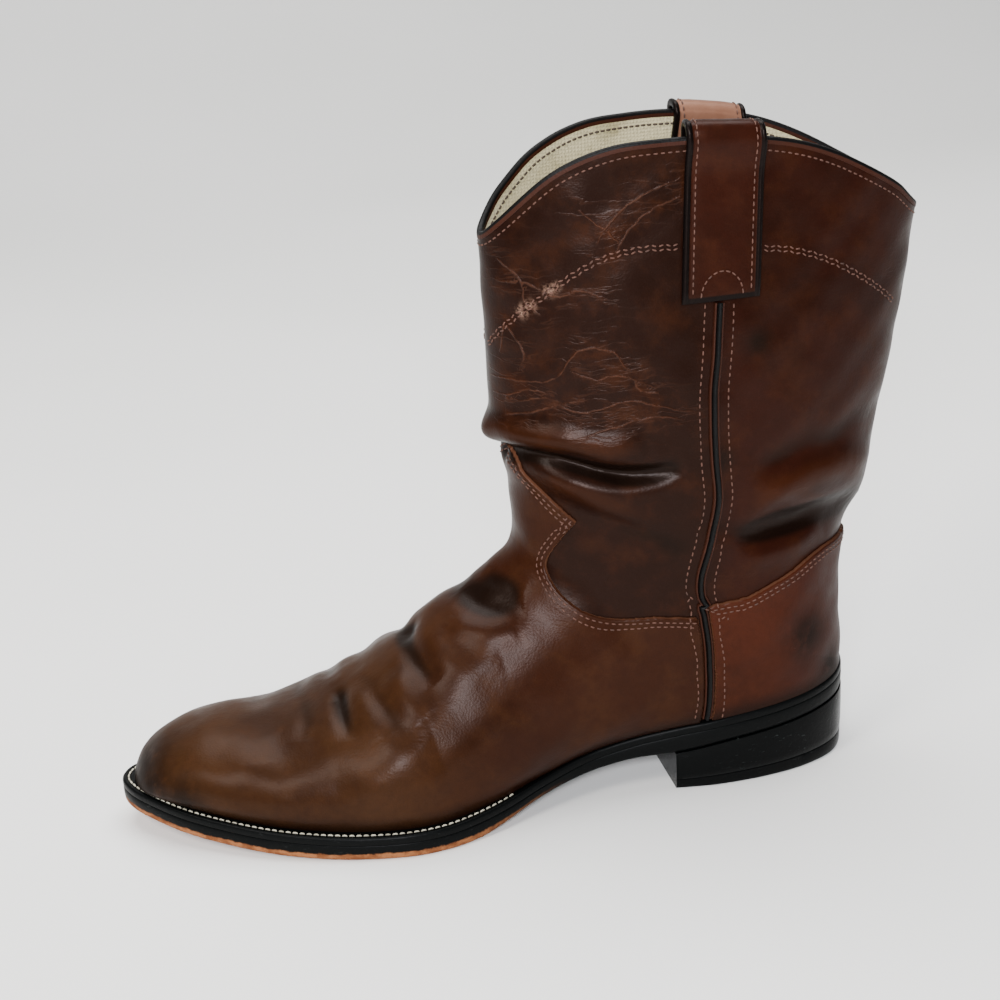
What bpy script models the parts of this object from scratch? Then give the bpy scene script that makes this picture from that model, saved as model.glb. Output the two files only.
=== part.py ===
"""Roper boot, left foot: leather pull-on boot with a low heel, standing empty on its sole.

The toe points along +X, the outer side of the foot along +Y, and up is +Z. The floor is z = 0 and
the origin is the middle of the heel's floor face. All sizes are in metres.
"""
import math

import bmesh
import bpy
import numpy as np

# Driving sizes
SOLE_LENGTH = 0.300
BALL_WIDTH = 0.104
SHAFT_HEIGHT = 0.2655
HEEL_CENTRE = 0.036
HEEL_DEPTH = 0.080
SEAT_HEIGHT = 0.038
SOLE_STACK = 0.0100
TOE_SPRING = 0.0095
WELT_THICKNESS = 0.0032
WELT_LEDGE = 0.0066
HEEL_TAPER = 0.0008
EDGE_ROUND = 0.0008
INSOLE_RISE = 0.0026
INSOLE_SHELF = 0.0020
WALL = 0.0022
OVERLAY = 0.0013
FIT_GAP = 0.0003
PIPING_WIDTH = 0.0038
PIPING_HEIGHT = 0.0022
PIPING_START = 0.0016
PIPING_END_GAP = 0.0010
SEAM_ALLOWANCE = 0.0004
STRAP_WIDTH = 0.030
STRAP_THICKNESS = 0.0024
STRAP_STAND = 0.0005
STRAP_BOTTOM = 0.205
STRAP_INNER_BOTTOM = 0.226
STRAP_RISE = 0.0058
STRAP_RISE_INNER = 0.0034
STRAP_ARCH_REACH = 0.0032
STRAP_BEND_DROP = 0.010
BEAD_WIDTH = 0.0034
BEAD_HEIGHT = 0.0022
RIM_DROP = 0.0025
CUTTER_MARGIN = 0.020
CUTTER_STEP = 0.002

# Plan of the outsole. Columns: way along the sole from the heel's back as a share of SOLE_LENGTH,
# then the outer and the inner edge as shares of BALL_WIDTH.
OUTLINE = (
    (0.000, 0.000, 0.000),
    (0.007, 0.110, -0.110),
    (0.027, 0.200, -0.200),
    (0.060, 0.262, -0.262),
    (0.105, 0.305, -0.303),
    (0.160, 0.326, -0.322),
    (0.215, 0.326, -0.315),
    (0.270, 0.302, -0.278),
    (0.325, 0.276, -0.243),
    (0.385, 0.275, -0.232),
    (0.450, 0.322, -0.275),
    (0.520, 0.410, -0.365),
    (0.585, 0.472, -0.443),
    (0.640, 0.486, -0.490),
    (0.700, 0.455, -0.514),
    (0.760, 0.402, -0.512),
    (0.820, 0.330, -0.490),
    (0.875, 0.240, -0.450),
    (0.925, 0.140, -0.388),
    (0.965, 0.030, -0.312),
    (0.990, -0.060, -0.240),
    (1.000, -0.150, -0.150),
)

# Side view of the sole. Columns: way along the sole, rise of the welt's top and rise of the
# underside as shares of SEAT_HEIGHT - SOLE_STACK, toe spring as a share of TOE_SPRING, and how far
# the upper stands back from the sole's edge as a share of WELT_LEDGE.
PROFILE = (
    (0.000, 1.000, 0.982, 0.00, 0.33),
    (0.050, 0.893, 0.893, 0.00, 0.33),
    (0.120, 0.804, 0.804, 0.00, 0.33),
    (0.200, 0.725, 0.714, 0.00, 0.34),
    (0.260, 0.643, 0.605, 0.00, 0.37),
    (0.330, 0.505, 0.536, 0.00, 0.42),
    (0.390, 0.370, 0.430, 0.00, 0.50),
    (0.450, 0.215, 0.295, 0.00, 0.62),
    (0.500, 0.105, 0.150, 0.00, 0.76),
    (0.540, 0.045, 0.035, 0.00, 0.88),
    (0.580, 0.012, 0.000, 0.00, 0.94),
    (0.640, 0.000, 0.000, 0.00, 0.98),
    (0.720, 0.000, 0.000, 0.00, 1.00),
    (0.800, 0.000, 0.000, 0.13, 1.00),
    (0.870, 0.000, 0.000, 0.36, 1.00),
    (0.940, 0.000, 0.000, 0.66, 1.00),
    (1.000, 0.000, 0.000, 1.00, 1.00),
)

# Sections of the upper's outer form, from the toe to above the collar. Each lies in the plane
# through its low point and its top point. Columns: low point x and z, top point x and z, middle y,
# half widths outwards and inwards, height of the widest place, and crown (under 1 is full, over 1
# is sharp). The x columns are shares of SOLE_LENGTH, the z columns of SHAFT_HEIGHT, y and widths of
# BALL_WIDTH. On the sole the low point's height is the welt's, so z is 0 there.
SECTIONS = (
    (0.9780, 0.000, 0.9780, 0.0715, -0.142, 0.005, 0.005, 0.30, 1.00),
    (0.9740, 0.000, 0.9735, 0.0850, -0.142, 0.087, 0.080, 0.30, 1.00),
    (0.9620, 0.000, 0.9600, 0.1080, -0.140, 0.160, 0.145, 0.30, 1.00),
    (0.9400, 0.000, 0.9360, 0.1300, -0.133, 0.224, 0.212, 0.30, 0.95),
    (0.9040, 0.000, 0.8980, 0.1455, -0.122, 0.283, 0.276, 0.30, 0.92),
    (0.8520, 0.000, 0.8450, 0.1530, -0.108, 0.353, 0.339, 0.28, 0.92),
    (0.7925, 0.000, 0.7825, 0.1560, -0.092, 0.411, 0.377, 0.26, 0.95),
    (0.7233, 0.000, 0.7117, 0.1870, -0.077, 0.459, 0.397, 0.25, 1.00),
    (0.6367, 0.000, 0.6533, 0.2235, -0.063, 0.483, 0.401, 0.25, 1.05),
    (0.5433, 0.000, 0.6000, 0.2630, -0.048, 0.454, 0.382, 0.27, 1.08),
    (0.4467, 0.000, 0.5460, 0.3075, -0.038, 0.397, 0.349, 0.30, 1.05),
    (0.3533, 0.000, 0.4950, 0.3455, -0.029, 0.358, 0.330, 0.32, 1.00),
    (0.2467, 0.000, 0.4590, 0.3740, -0.019, 0.341, 0.322, 0.30, 0.95),
    (0.1333, 0.000, 0.4455, 0.4020, -0.010, 0.332, 0.322, 0.30, 0.90),
    (0.0467, 0.000, 0.4450, 0.4369, 0.000, 0.332, 0.325, 0.32, 0.90),
    (0.0073, 0.144, 0.4455, 0.4727, 0.000, 0.336, 0.330, 0.36, 0.92),
    (0.0075, 0.226, 0.4475, 0.5085, 0.000, 0.345, 0.340, 0.42, 0.95),
    (0.0060, 0.301, 0.4580, 0.5424, 0.000, 0.357, 0.352, 0.46, 1.00),
    (-0.0040, 0.365, 0.4683, 0.5763, 0.000, 0.363, 0.359, 0.50, 1.00),
    (-0.0317, 0.414, 0.4700, 0.6139, 0.000, 0.365, 0.361, 0.50, 1.00),
    (-0.0400, 0.471, 0.4700, 0.6591, 0.000, 0.365, 0.361, 0.50, 1.00),
    (-0.0550, 0.546, 0.4700, 0.7119, 0.000, 0.365, 0.365, 0.50, 1.00),
    (-0.0733, 0.633, 0.4700, 0.7684, 0.000, 0.356, 0.356, 0.50, 1.00),
    (-0.0900, 0.727, 0.4700, 0.8286, 0.000, 0.337, 0.337, 0.50, 1.00),
    (-0.1050, 0.829, 0.4700, 0.9040, 0.000, 0.313, 0.313, 0.50, 1.03),
    (-0.1200, 0.934, 0.4717, 0.9755, 0.000, 0.293, 0.293, 0.50, 1.06),
    (-0.1300, 1.025, 0.4733, 1.0433, 0.000, 0.284, 0.284, 0.50, 1.08),
)
CLOSING_ROW = 15
COLLAR_START_ROW = 22

# Edge of the collar in side view. Columns: x as a share of SOLE_LENGTH, z as a share of
# SHAFT_HEIGHT.
COLLAR = (
    (-0.130, 0.842),
    (-0.100, 0.856),
    (-0.063, 0.893),
    (-0.022, 0.923),
    (0.027, 0.954),
    (0.072, 0.975),
    (0.125, 0.990),
    (0.185, 0.998),
    (0.250, 1.000),
    (0.316, 0.995),
    (0.354, 0.982),
    (0.390, 0.961),
    (0.427, 0.926),
    (0.450, 0.900),
    (0.475, 0.868),
)

# Side seams in side view. Columns: z as a share of SHAFT_HEIGHT, then x on the outer and on the
# inner side as shares of SOLE_LENGTH.
SEAM = (
    (0.090, 0.226, 0.226),
    (0.160, 0.220, 0.220),
    (0.230, 0.220, 0.220),
    (0.300, 0.226, 0.226),
    (0.350, 0.229, 0.227),
    (0.405, 0.218, 0.214),
    (0.465, 0.206, 0.199),
    (0.545, 0.208, 0.194),
    (0.630, 0.208, 0.184),
    (0.700, 0.201, 0.170),
    (0.770, 0.195, 0.157),
    (1.050, 0.175, 0.135),
)

# Rear edge of the vamp in side view, from the seam to the front of the ankle, with the corner
# where its tongue starts. Columns: x as a share of SOLE_LENGTH, z as a share of SHAFT_HEIGHT.
VAMP_LINE = (
    (0.288, 0.296),
    (0.339, 0.298),
    (0.378, 0.312),
    (0.405, 0.338),
    (0.418, 0.368),
    (0.416, 0.391),
    (0.403, 0.417),
    (0.381, 0.452),
    (0.410, 0.487),
    (0.438, 0.525),
    (0.452, 0.545),
    (0.520, 0.600),
)

# Upper edge of the counter in side view, from the seam to the back of the heel. Same columns.
COUNTER_LINE = (
    (0.165, 0.314),
    (0.105, 0.336),
    (0.060, 0.354),
    (0.025, 0.359),
    (-0.100, 0.356),
)

# Middle of the pull straps in side view. Same columns as SEAM.
STRAP_LINE = (
    (0.760, 0.195, 0.157),
    (1.040, 0.174, 0.134),
)

# Rows of the upper's mesh, in steps along SECTIONS
FOOT_ROWS = (0, 0.4, 1, 1.6, 2.3, 3, 4, 5, 6, 6.6, 7.2, 8, 8.6, 9.1, 9.5, 9.9, 10.3, 10.7, 11,
             11.4, 11.9, 12.4, 13, 13.5, 14, 14.45, 14.75, 14.92, 15)
SHAFT_ROWS = (15.5, 16, 16.5, 17, 17.5, 18, 18.5, 19, 20, 21, 22)
COLLAR_STEPS = 3
RING_STEPS = 12
OVERLAY_TOP_ROW = 20
COUNTER_FIRST_ROW = 11
SOLE_STATIONS = 44
HEEL_STATIONS = 18
SEARCH_STEPS = 400

# How much the upper bulges past its low edge, and how square the straps' arches are, as plain ratios
FOOT_FULLNESS = 1.03
ARCH_SQUARENESS = 0.75


def catmull(table, place):
    """Smooth curve through evenly spaced rows; place runs from 0 to the last row's number."""
    rows = np.asarray(table, float)
    last = len(rows) - 1
    place = np.clip(np.asarray(place, float), 0, last)
    index = np.minimum(place.astype(int), last - 1)
    part = (place - index)[..., None]
    padded = np.vstack([2 * rows[0] - rows[1], rows, 2 * rows[-1] - rows[-2]])
    before, start, end, after = (padded[index + k] for k in range(4))
    slope = end - before
    bend = 2 * before - 5 * start + 4 * end - after
    twist = 3 * start - before - 3 * end + after
    return 0.5 * (2 * start + slope * part + bend * part ** 2 + twist * part ** 3)


def through(table, where, column=1):
    """Smooth curve through unevenly spaced rows, column against the first one."""
    rows = np.asarray(table, float)
    xs, ys = rows[:, 0], rows[:, column]
    slopes = np.gradient(ys, xs)
    where = np.clip(where, xs[0], xs[-1])
    index = np.clip(np.searchsorted(xs, where) - 1, 0, len(xs) - 2)
    step = xs[index + 1] - xs[index]
    part = (where - xs[index]) / step
    rest = 1 - part
    ends = ys[index] * (1 + 2 * part) * rest ** 2 + ys[index + 1] * part ** 2 * (3 - 2 * part)
    tangents = slopes[index] * part * rest ** 2 - slopes[index + 1] * part ** 2 * rest
    return ends + tangents * step


def ledge(x):
    """How far the upper stands back from the sole's edge at x from the heel's back."""
    return WELT_LEDGE * through(PROFILE, x / SOLE_LENGTH, 4)


def welt_top(x):
    share = x / SOLE_LENGTH
    return (SOLE_STACK + (SEAT_HEIGHT - SOLE_STACK) * through(PROFILE, share, 1)
            + TOE_SPRING * through(PROFILE, share, 3))


def underside(x):
    share = x / SOLE_LENGTH
    rise = (SEAT_HEIGHT - SOLE_STACK) * through(PROFILE, share, 2)
    return np.maximum(rise, 0) + TOE_SPRING * np.maximum(through(PROFILE, share, 3), 0)


def sole_loop():
    """The sole's plan as one smooth closed line, outwards to the toe and back along the arch."""
    rows = [(x, outer) for x, outer, inner in OUTLINE]
    rows += [(x, inner) for x, outer, inner in OUTLINE[-2:0:-1]]
    around = np.array(rows[-2:] + rows + rows[:3])
    line = catmull(around, 2 + np.linspace(0, len(rows), SEARCH_STEPS, endpoint=False))
    return line * np.array([SOLE_LENGTH, BALL_WIDTH])


def edges(inset):
    """Outer and inner edge of the sole's plan, moved inwards by inset(x), heel to toe."""
    line = sole_loop()
    along = np.roll(line, -1, axis=0) - np.roll(line, 1, axis=0)
    inward = np.stack([along[:, 1], -along[:, 0]], -1)
    inward /= np.linalg.norm(inward, axis=-1, keepdims=True)
    line = line + inset(line[:, 0])[:, None] * inward
    line = np.roll(line, -int(np.argmin(line[:, 0])), axis=0)
    toe = int(np.argmax(line[:, 0]))
    outer = line[:toe + 1]
    inner = np.vstack([line[toe:], line[:1]])[::-1]
    return (outer[:, 0], outer[:, 1]), (inner[:, 0], inner[:, 1])


def stations(inset, count, far=None):
    """x, outer y and inner y at count places, closer together near round ends."""
    (outer_x, outer_y), (inner_x, inner_y) = edges(inset)
    first, last = outer_x[0], outer_x[-1]
    turn = np.linspace(0, math.pi, count)
    if far is not None:
        last = far
        turn = np.linspace(0, math.pi / 2, count)
        x = first + (last - first) * (1 - np.cos(turn))
    else:
        x = first + (last - first) * (1 - np.cos(turn)) / 2
    return x, np.interp(x, outer_x, outer_y), np.interp(x, inner_x, inner_y)


FEATHER = edges(ledge)


def section(place):
    """Sizes in metres of the upper's section at place, a row number that may lie between rows."""
    row = catmull(SECTIONS, place)
    low_x, top_x = row[..., 0] * SOLE_LENGTH, row[..., 2] * SOLE_LENGTH
    low_z, top_z = row[..., 1] * SHAFT_HEIGHT, row[..., 3] * SHAFT_HEIGHT
    middle, out, inn = (row[..., k] * BALL_WIDTH for k in (4, 5, 6))
    (outer_x, outer_y), (inner_x, inner_y) = FEATHER
    low_x = np.where(place < CLOSING_ROW + 1, np.clip(low_x, None, outer_x[-1]), low_x)
    on_sole = place < CLOSING_ROW
    low_x = np.where(on_sole, np.maximum(low_x, outer_x[0]), low_x)
    low_x = np.where(place == CLOSING_ROW, outer_x[0], low_x)
    seat = welt_top(low_x) + FIT_GAP
    low_z = np.where(place <= CLOSING_ROW, seat, np.maximum(low_z, seat))
    foot_out = np.where(on_sole, np.interp(low_x, outer_x, outer_y) - middle, 0)
    foot_in = np.where(on_sole, middle - np.interp(low_x, inner_x, inner_y), 0)
    tip = place <= 0
    foot_out, foot_in = np.where(tip, 0, foot_out), np.where(tip, 0, foot_in)
    out, inn = np.where(tip, 0, out), np.where(tip, 0, inn)
    return {"low": (low_x, low_z), "top": (np.where(tip, low_x, top_x), np.where(tip, low_z, top_z)),
            "middle": middle, "foot": (np.maximum(foot_out, 0), np.maximum(foot_in, 0)),
            "reach": (np.maximum(out, foot_out * FOOT_FULLNESS), np.maximum(inn, foot_in * FOOT_FULLNESS)),
            "widest": row[..., 7], "crown": row[..., 8]}


def form(place, turn, side):
    """Point of the upper's outer form; turn runs from 0 at the low edge to 1 at the ridge."""
    cut = section(place)
    pick = 0 if side > 0 else 1
    reach, foot = cut["reach"][pick], cut["foot"][pick]
    start = -np.arccos(np.clip(foot / np.maximum(reach, 1e-6), 0, 1))
    angle = start + (math.pi / 2 - start) * turn
    round_side = np.clip(np.cos(angle), 0, 1)
    width = reach * np.where(angle < 0, round_side, round_side ** cut["crown"])
    sweep = np.maximum(-np.sin(start), 1e-6)
    below = cut["widest"] * (1 + np.sin(angle) / sweep)
    above = cut["widest"] + (1 - cut["widest"]) * np.sin(angle)
    rise = np.where(angle < 0, below, above)
    (low_x, low_z), (top_x, top_z) = cut["low"], cut["top"]
    x = low_x + (top_x - low_x) * rise
    z = low_z + (top_z - low_z) * rise
    return np.stack([x, cut["middle"] + side * width, z], -1)


def ring(place_out, place_in):
    """One row round the upper, from the outer low edge over the ridge to the inner low edge."""
    turn = np.linspace(0, 1, RING_STEPS + 1)
    outer = form(place_out, turn, 1.0)
    inner = form(place_in[::-1], turn[::-1], -1.0)
    return np.vstack([outer, inner[1:]])


def collar_place(side):
    """Row number at which each line of the ring meets the collar's edge."""
    turn = np.linspace(0, 1, RING_STEPS + 1)
    places = np.linspace(COLLAR_START_ROW, len(SECTIONS) - 1, SEARCH_STEPS)
    grid_place, grid_turn = np.meshgrid(places, turn, indexing="ij")
    points = form(grid_place, grid_turn, side)
    edge = SHAFT_HEIGHT * through(COLLAR, points[..., 0] / SOLE_LENGTH) - RIM_DROP
    passed = points[..., 2] >= edge
    first = np.maximum(np.argmax(passed, axis=0), 1)
    column = np.arange(len(turn))
    over = (points[..., 2] - edge)[first, column]
    under = (points[..., 2] - edge)[first - 1, column]
    return places[first] - over / (over - under) * (places[1] - places[0])


def upper_grid():
    """Rows of points over the whole outer form, and the number of the first closed row."""
    flat = np.ones(RING_STEPS + 1)
    rows = [ring(place * flat, place * flat) for place in FOOT_ROWS + SHAFT_ROWS]
    ends = collar_place(1.0), collar_place(-1.0)
    for step in range(1, COLLAR_STEPS + 1):
        share = step / COLLAR_STEPS
        rows.append(ring(*(COLLAR_START_ROW + (end - COLLAR_START_ROW) * share for end in ends)))
    return np.array(rows), FOOT_ROWS.index(CLOSING_ROW)


def grid_normals(points, closed):
    """Outward directions at the points of a grid, joined along the back of the closed rows."""
    along, around = np.gradient(points, axis=0), np.gradient(points, axis=1)
    normal = np.cross(along, around)
    normal[0] = normal[1].sum(axis=0)
    joined = normal[closed:, 0] + normal[closed:, -1]
    normal[closed:, 0] = joined
    normal[closed:, -1] = joined
    length = np.linalg.norm(normal, axis=-1, keepdims=True)
    return normal / np.maximum(length, 1e-12)


def lifted(points, normals, distance):
    """The grid moved along its normals, with its low edge kept over the welt."""
    moved = points + distance * normals
    moved[..., 2] = np.maximum(moved[..., 2], welt_top(moved[..., 0]) + FIT_GAP)
    return moved


def place_on_floor(vertices):
    """Points measured from the heel's back, moved so that the origin is under the heel."""
    return np.asarray(vertices, float) - np.array([HEEL_CENTRE, 0, 0])


def new_object(name, vertices, faces):
    """Mesh object from points and faces, with doubled points joined and faces turned outwards."""
    mesh = bpy.data.meshes.new(name)
    mesh.from_pydata(place_on_floor(vertices).tolist(), [], faces)
    thing = bpy.data.objects.new(name, mesh)
    bpy.context.scene.collection.objects.link(thing)
    clean(thing)
    return thing


def clean(thing):
    """Join doubled points, drop empty faces and turn every face outwards."""
    work = bmesh.new()
    work.from_mesh(thing.data)
    bmesh.ops.remove_doubles(work, verts=work.verts[:], dist=0.00002)
    bmesh.ops.dissolve_degenerate(work, edges=work.edges[:], dist=0.00001)
    bmesh.ops.recalc_face_normals(work, faces=work.faces[:])
    if work.calc_volume(signed=True) < 0:
        bmesh.ops.reverse_faces(work, faces=work.faces[:])
    work.to_mesh(thing.data)
    work.free()


def shell(name, outer, inner, closed):
    """Closed solid between two grids; rows before closed are open along both low edges."""
    rows, columns = outer.shape[:2]
    vertices = np.vstack([outer.reshape(-1, 3), inner.reshape(-1, 3)])
    number = np.arange(rows * columns).reshape(rows, columns)
    under = number + rows * columns
    faces = []
    for i in range(rows - 1):
        for j in range(columns - 1):
            quad = ((i, j), (i + 1, j), (i + 1, j + 1), (i, j + 1))
            if 2 * j + 1 > columns - 1:
                quad = quad[1:] + quad[:1]
            for half in ((0, 1, 2), (0, 2, 3)):
                corners = [quad[corner] for corner in half]
                faces.append([int(number[place]) for place in corners])
                faces.append([int(under[place]) for place in reversed(corners)])
    rims = [[(i, j) for j in range(columns)] for i in (0, rows - 1)]
    rims += [[(i, j) for i in range(min(closed, rows - 1) + 1)] for j in (0, columns - 1)]
    for rim in rims:
        for here, there in zip(rim[:-1], rim[1:]):
            faces.append([int(number[here]), int(number[there]),
                          int(under[there]), int(under[here])])
    return new_object(name, vertices, faces)


def tube(name, rings, joined):
    """Closed solid from equal rings of points; joined links the last ring to the first."""
    rings = np.asarray(rings, float)
    count, size = rings.shape[:2]
    faces = []
    for i in range(count if joined else count - 1):
        step = (i + 1) % count
        for k in range(size):
            turn = (k + 1) % size
            faces.append([i * size + k, step * size + k, step * size + turn, i * size + turn])
    if not joined:
        faces.append(list(range(size)))
        faces.append([(count - 1) * size + k for k in reversed(range(size))])
    return new_object(name, rings.reshape(-1, 3), faces)


def plate(name, inset, top, bottom, edge, count, far=None):
    """Solid with the plan of the sole. edge rows give inset and height share up its side."""
    rings = []
    for depth, share in edge:
        x, outer, inner = stations(lambda where, d=depth: inset(where) + d, count, far)
        height = bottom(x) + (top(x) - bottom(x)) * share
        rings.append((np.stack([x, outer, height], -1), np.stack([x, inner, height], -1)))
    loops = [np.vstack([[pair[0][i] for pair in rings], [pair[1][i] for pair in rings[::-1]]])
             for i in range(count)]
    return tube(name, loops, joined=False)


def prism(name, outline):
    """Cutter: a side-view outline carried across the boot's whole width."""
    curve = bpy.data.curves.new(name, "CURVE")
    curve.dimensions = "2D"
    curve.fill_mode = "BOTH"
    curve.extrude = BALL_WIDTH
    line = curve.splines.new("POLY")
    line.points.add(len(outline) - 1)
    for point, (x, z) in zip(line.points, outline):
        point.co = (x - HEEL_CENTRE, z, 0, 1)
    line.use_cyclic_u = True
    holder = bpy.data.objects.new(name, curve)
    bpy.context.scene.collection.objects.link(holder)
    holder.rotation_euler = (math.pi / 2, 0, 0)
    bpy.context.view_layer.update()
    graph = bpy.context.evaluated_depsgraph_get()
    mesh = bpy.data.meshes.new_from_object(holder.evaluated_get(graph))
    mesh.transform(holder.matrix_world)
    bpy.data.objects.remove(holder, do_unlink=True)
    thing = bpy.data.objects.new(name, mesh)
    bpy.context.scene.collection.objects.link(thing)
    clean(thing)
    return thing


def keep_inside(thing, cutter):
    """Cut thing down to what lies inside the cutter."""
    cut = thing.modifiers.new("cut", "BOOLEAN")
    cut.operation = "INTERSECT"
    cut.solver = "EXACT"
    cut.object = cutter
    bpy.context.view_layer.objects.active = thing
    bpy.ops.object.modifier_apply(modifier=cut.name)
    clean(thing)


def seam_x(z, side=1.0):
    return SOLE_LENGTH * through(SEAM, z / SHAFT_HEIGHT, 1 if side > 0 else 2)


def vamp_outline():
    """Side-view outline of the vamp, past the sole and the toe on its other sides."""
    clear = PIPING_WIDTH / 2 + SEAM_ALLOWANCE
    line = [(x * SOLE_LENGTH, z * SHAFT_HEIGHT) for x, z in VAMP_LINE]
    low = np.linspace(-CUTTER_MARGIN, line[0][1] - CUTTER_STEP, 9)
    seam = [(float(seam_x(z)) + clear, float(z)) for z in low]
    front = (1.1 * SOLE_LENGTH, line[-1][1])
    return seam + line + [front, (front[0], -CUTTER_MARGIN)]


def counter_outline():
    """Side-view outline of the counter, past the sole and the heel on its other sides."""
    clear = PIPING_WIDTH / 2 + SEAM_ALLOWANCE
    line = [(x * SOLE_LENGTH, z * SHAFT_HEIGHT) for x, z in COUNTER_LINE]
    low = np.linspace(-CUTTER_MARGIN, line[0][1] - CUTTER_STEP, 9)
    seam = [(float(seam_x(z)) - clear, float(z)) for z in low]
    return seam + line + [(line[-1][0], -CUTTER_MARGIN)]


def on_form(x, z, side):
    """Points and outward directions of the outer form at side-view places x, z."""
    places = np.linspace(COUNTER_FIRST_ROW, len(SECTIONS) - 1, SEARCH_STEPS)
    turns = np.linspace(0.02, 0.98, SEARCH_STEPS)
    grid = np.meshgrid(places, turns, indexing="ij")
    points = form(grid[0], grid[1], side)
    small = 1e-3
    found, directions = [], []
    for want in np.stack([x, z], -1):
        miss = np.hypot(points[..., 0] - want[0], points[..., 2] - want[1])
        spot = np.unravel_index(np.argmin(miss), miss.shape)
        at = np.array([grid[0][spot], grid[1][spot]])
        for _ in range(4):
            here = form(at[0], at[1], side)[[0, 2]]
            across = (form(at[0] + small, at[1], side)[[0, 2]] - here) / small
            along = (form(at[0], at[1] + small, side)[[0, 2]] - here) / small
            at = at + np.linalg.solve(np.stack([across, along], -1), want - here)
        here = form(at[0], at[1], side)
        across = form(at[0] + small, at[1], side) - here
        along = form(at[0], at[1] + small, side) - here
        normal = np.cross(across, along)
        normal = normal / np.linalg.norm(normal)
        directions.append(normal if normal[1] * side > 0 else -normal)
        found.append(here)
    return np.array(found), np.array(directions)


def make_upper(points, normals, closed):
    return shell("upper", points, lifted(points, normals, -WALL), closed)


def make_overlay(name, points, normals, closed, first, last, outline):
    """Leather piece lying on the upper, cut to its side-view outline."""
    span = slice(first, last + 1)
    outer = lifted(points, normals, FIT_GAP + OVERLAY)[span]
    inner = lifted(points, normals, FIT_GAP)[span]
    thing = shell(name, outer, inner, closed - first)
    keep_inside(thing, prism(name + "_cutter", outline))
    return thing


def make_piping(name, side):
    """Raised cord along the side seam, from the welt to the pull strap."""
    low = float(welt_top(seam_x(SEAT_HEIGHT))) + PIPING_START
    z = np.linspace(low, STRAP_BOTTOM - PIPING_END_GAP, 30)
    points, normals = on_form(seam_x(z, side), z, side)
    along = np.gradient(points, axis=0)
    along /= np.linalg.norm(along, axis=-1, keepdims=True)
    across = np.cross(along, normals)
    half, tall = PIPING_WIDTH / 2, FIT_GAP + PIPING_HEIGHT
    profile = ((-half, FIT_GAP), (-half, 0.6 * tall), (-0.5 * half, tall), (0.5 * half, tall),
               (half, 0.6 * tall), (half, FIT_GAP))
    rings = [[p + b * c + h * n for b, h in profile] for p, n, c in zip(points, normals, across)]
    return tube(name, rings, joined=False)


def strap_path(share, side):
    """Near and far face of the strap's loop at one place across its width, bottom to bottom."""
    column = 1 if side > 0 else 2
    z_axis = np.array([row[0] for row in STRAP_LINE]) * SHAFT_HEIGHT
    x_axis = np.array([row[column] for row in STRAP_LINE]) * SOLE_LENGTH
    x_axis = x_axis + (share - 0.5) * STRAP_WIDTH

    def line_x(z):
        return np.interp(z, z_axis, x_axis)

    edge = SHAFT_HEIGHT * float(through(COLLAR, line_x(SHAFT_HEIGHT) / SOLE_LENGTH))
    rim = edge - RIM_DROP
    bend = rim - STRAP_BEND_DROP
    legs_out = np.array([STRAP_BOTTOM, *np.linspace(STRAP_BOTTOM, bend, 5)[1:]])
    legs_in = np.array([bend, 0.5 * (bend + STRAP_INNER_BOTTOM), STRAP_INNER_BOTTOM])
    points, normals = on_form(line_x(np.array([*legs_out, rim, *legs_in])),
                              np.array([*legs_out, rim, *legs_in]), side)
    last = len(legs_out)
    near = [points[k] + normals[k] * STRAP_STAND for k in range(last)]
    far = [points[k] + normals[k] * (STRAP_STAND + STRAP_THICKNESS) for k in range(last)]
    outward = normals[last] * np.array([1, 1, 0])
    outward = outward / np.linalg.norm(outward)
    core = points[last] - outward * WALL / 2
    rise = (STRAP_RISE if side > 0 else STRAP_RISE_INNER) + RIM_DROP
    for angle in np.linspace(0, math.pi, 9):
        level = math.sin(angle) ** ARCH_SQUARENESS
        bow = math.copysign(abs(math.cos(angle)) ** ARCH_SQUARENESS, math.cos(angle))
        near.append(core + outward * STRAP_ARCH_REACH * bow
                    + np.array([0, 0, (rise - STRAP_THICKNESS) * level]))
        far.append(core + outward * (STRAP_ARCH_REACH + STRAP_THICKNESS) * bow
                   + np.array([0, 0, rise * level]))
    for k in range(last + 1, len(points)):
        gap = WALL + STRAP_STAND
        near.append(points[k] - normals[k] * gap)
        far.append(points[k] - normals[k] * (gap + STRAP_THICKNESS))
    return np.array(near), np.array(far)


def make_strap(name, side):
    """Leather loop over the collar at the side seam, with room for a finger under its arch."""
    paths = [strap_path(share, side) for share in (0.0, 0.25, 0.5, 0.75, 1.0)]
    near = np.stack([path[0] for path in paths], axis=1)
    far = np.stack([path[1] for path in paths], axis=1)
    return shell(name, far, near, closed=len(far))


def make_binding(points, normals):
    """Bead round the collar's edge."""
    line = points[-1] - normals[-1] * WALL / 2
    line, outward = line[:-1], normals[-1][:-1]
    along = np.roll(line, -1, axis=0) - np.roll(line, 1, axis=0)
    along /= np.linalg.norm(along, axis=-1, keepdims=True)
    upward = np.cross(outward, along)
    upward *= np.sign(upward[:, 2:3])
    half, tall = BEAD_WIDTH / 2, BEAD_HEIGHT
    profile = ((-0.75 * half, 0), (-half, 0.45 * tall), (-0.6 * half, 0.9 * tall), (0, tall),
               (0.6 * half, 0.9 * tall), (half, 0.45 * tall), (0.75 * half, 0))
    rings = [[p + b * o + (FIT_GAP + h) * u for b, h in profile]
             for p, o, u in zip(line, outward, upward)]
    return tube("collar_binding", rings, joined=True)


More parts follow.
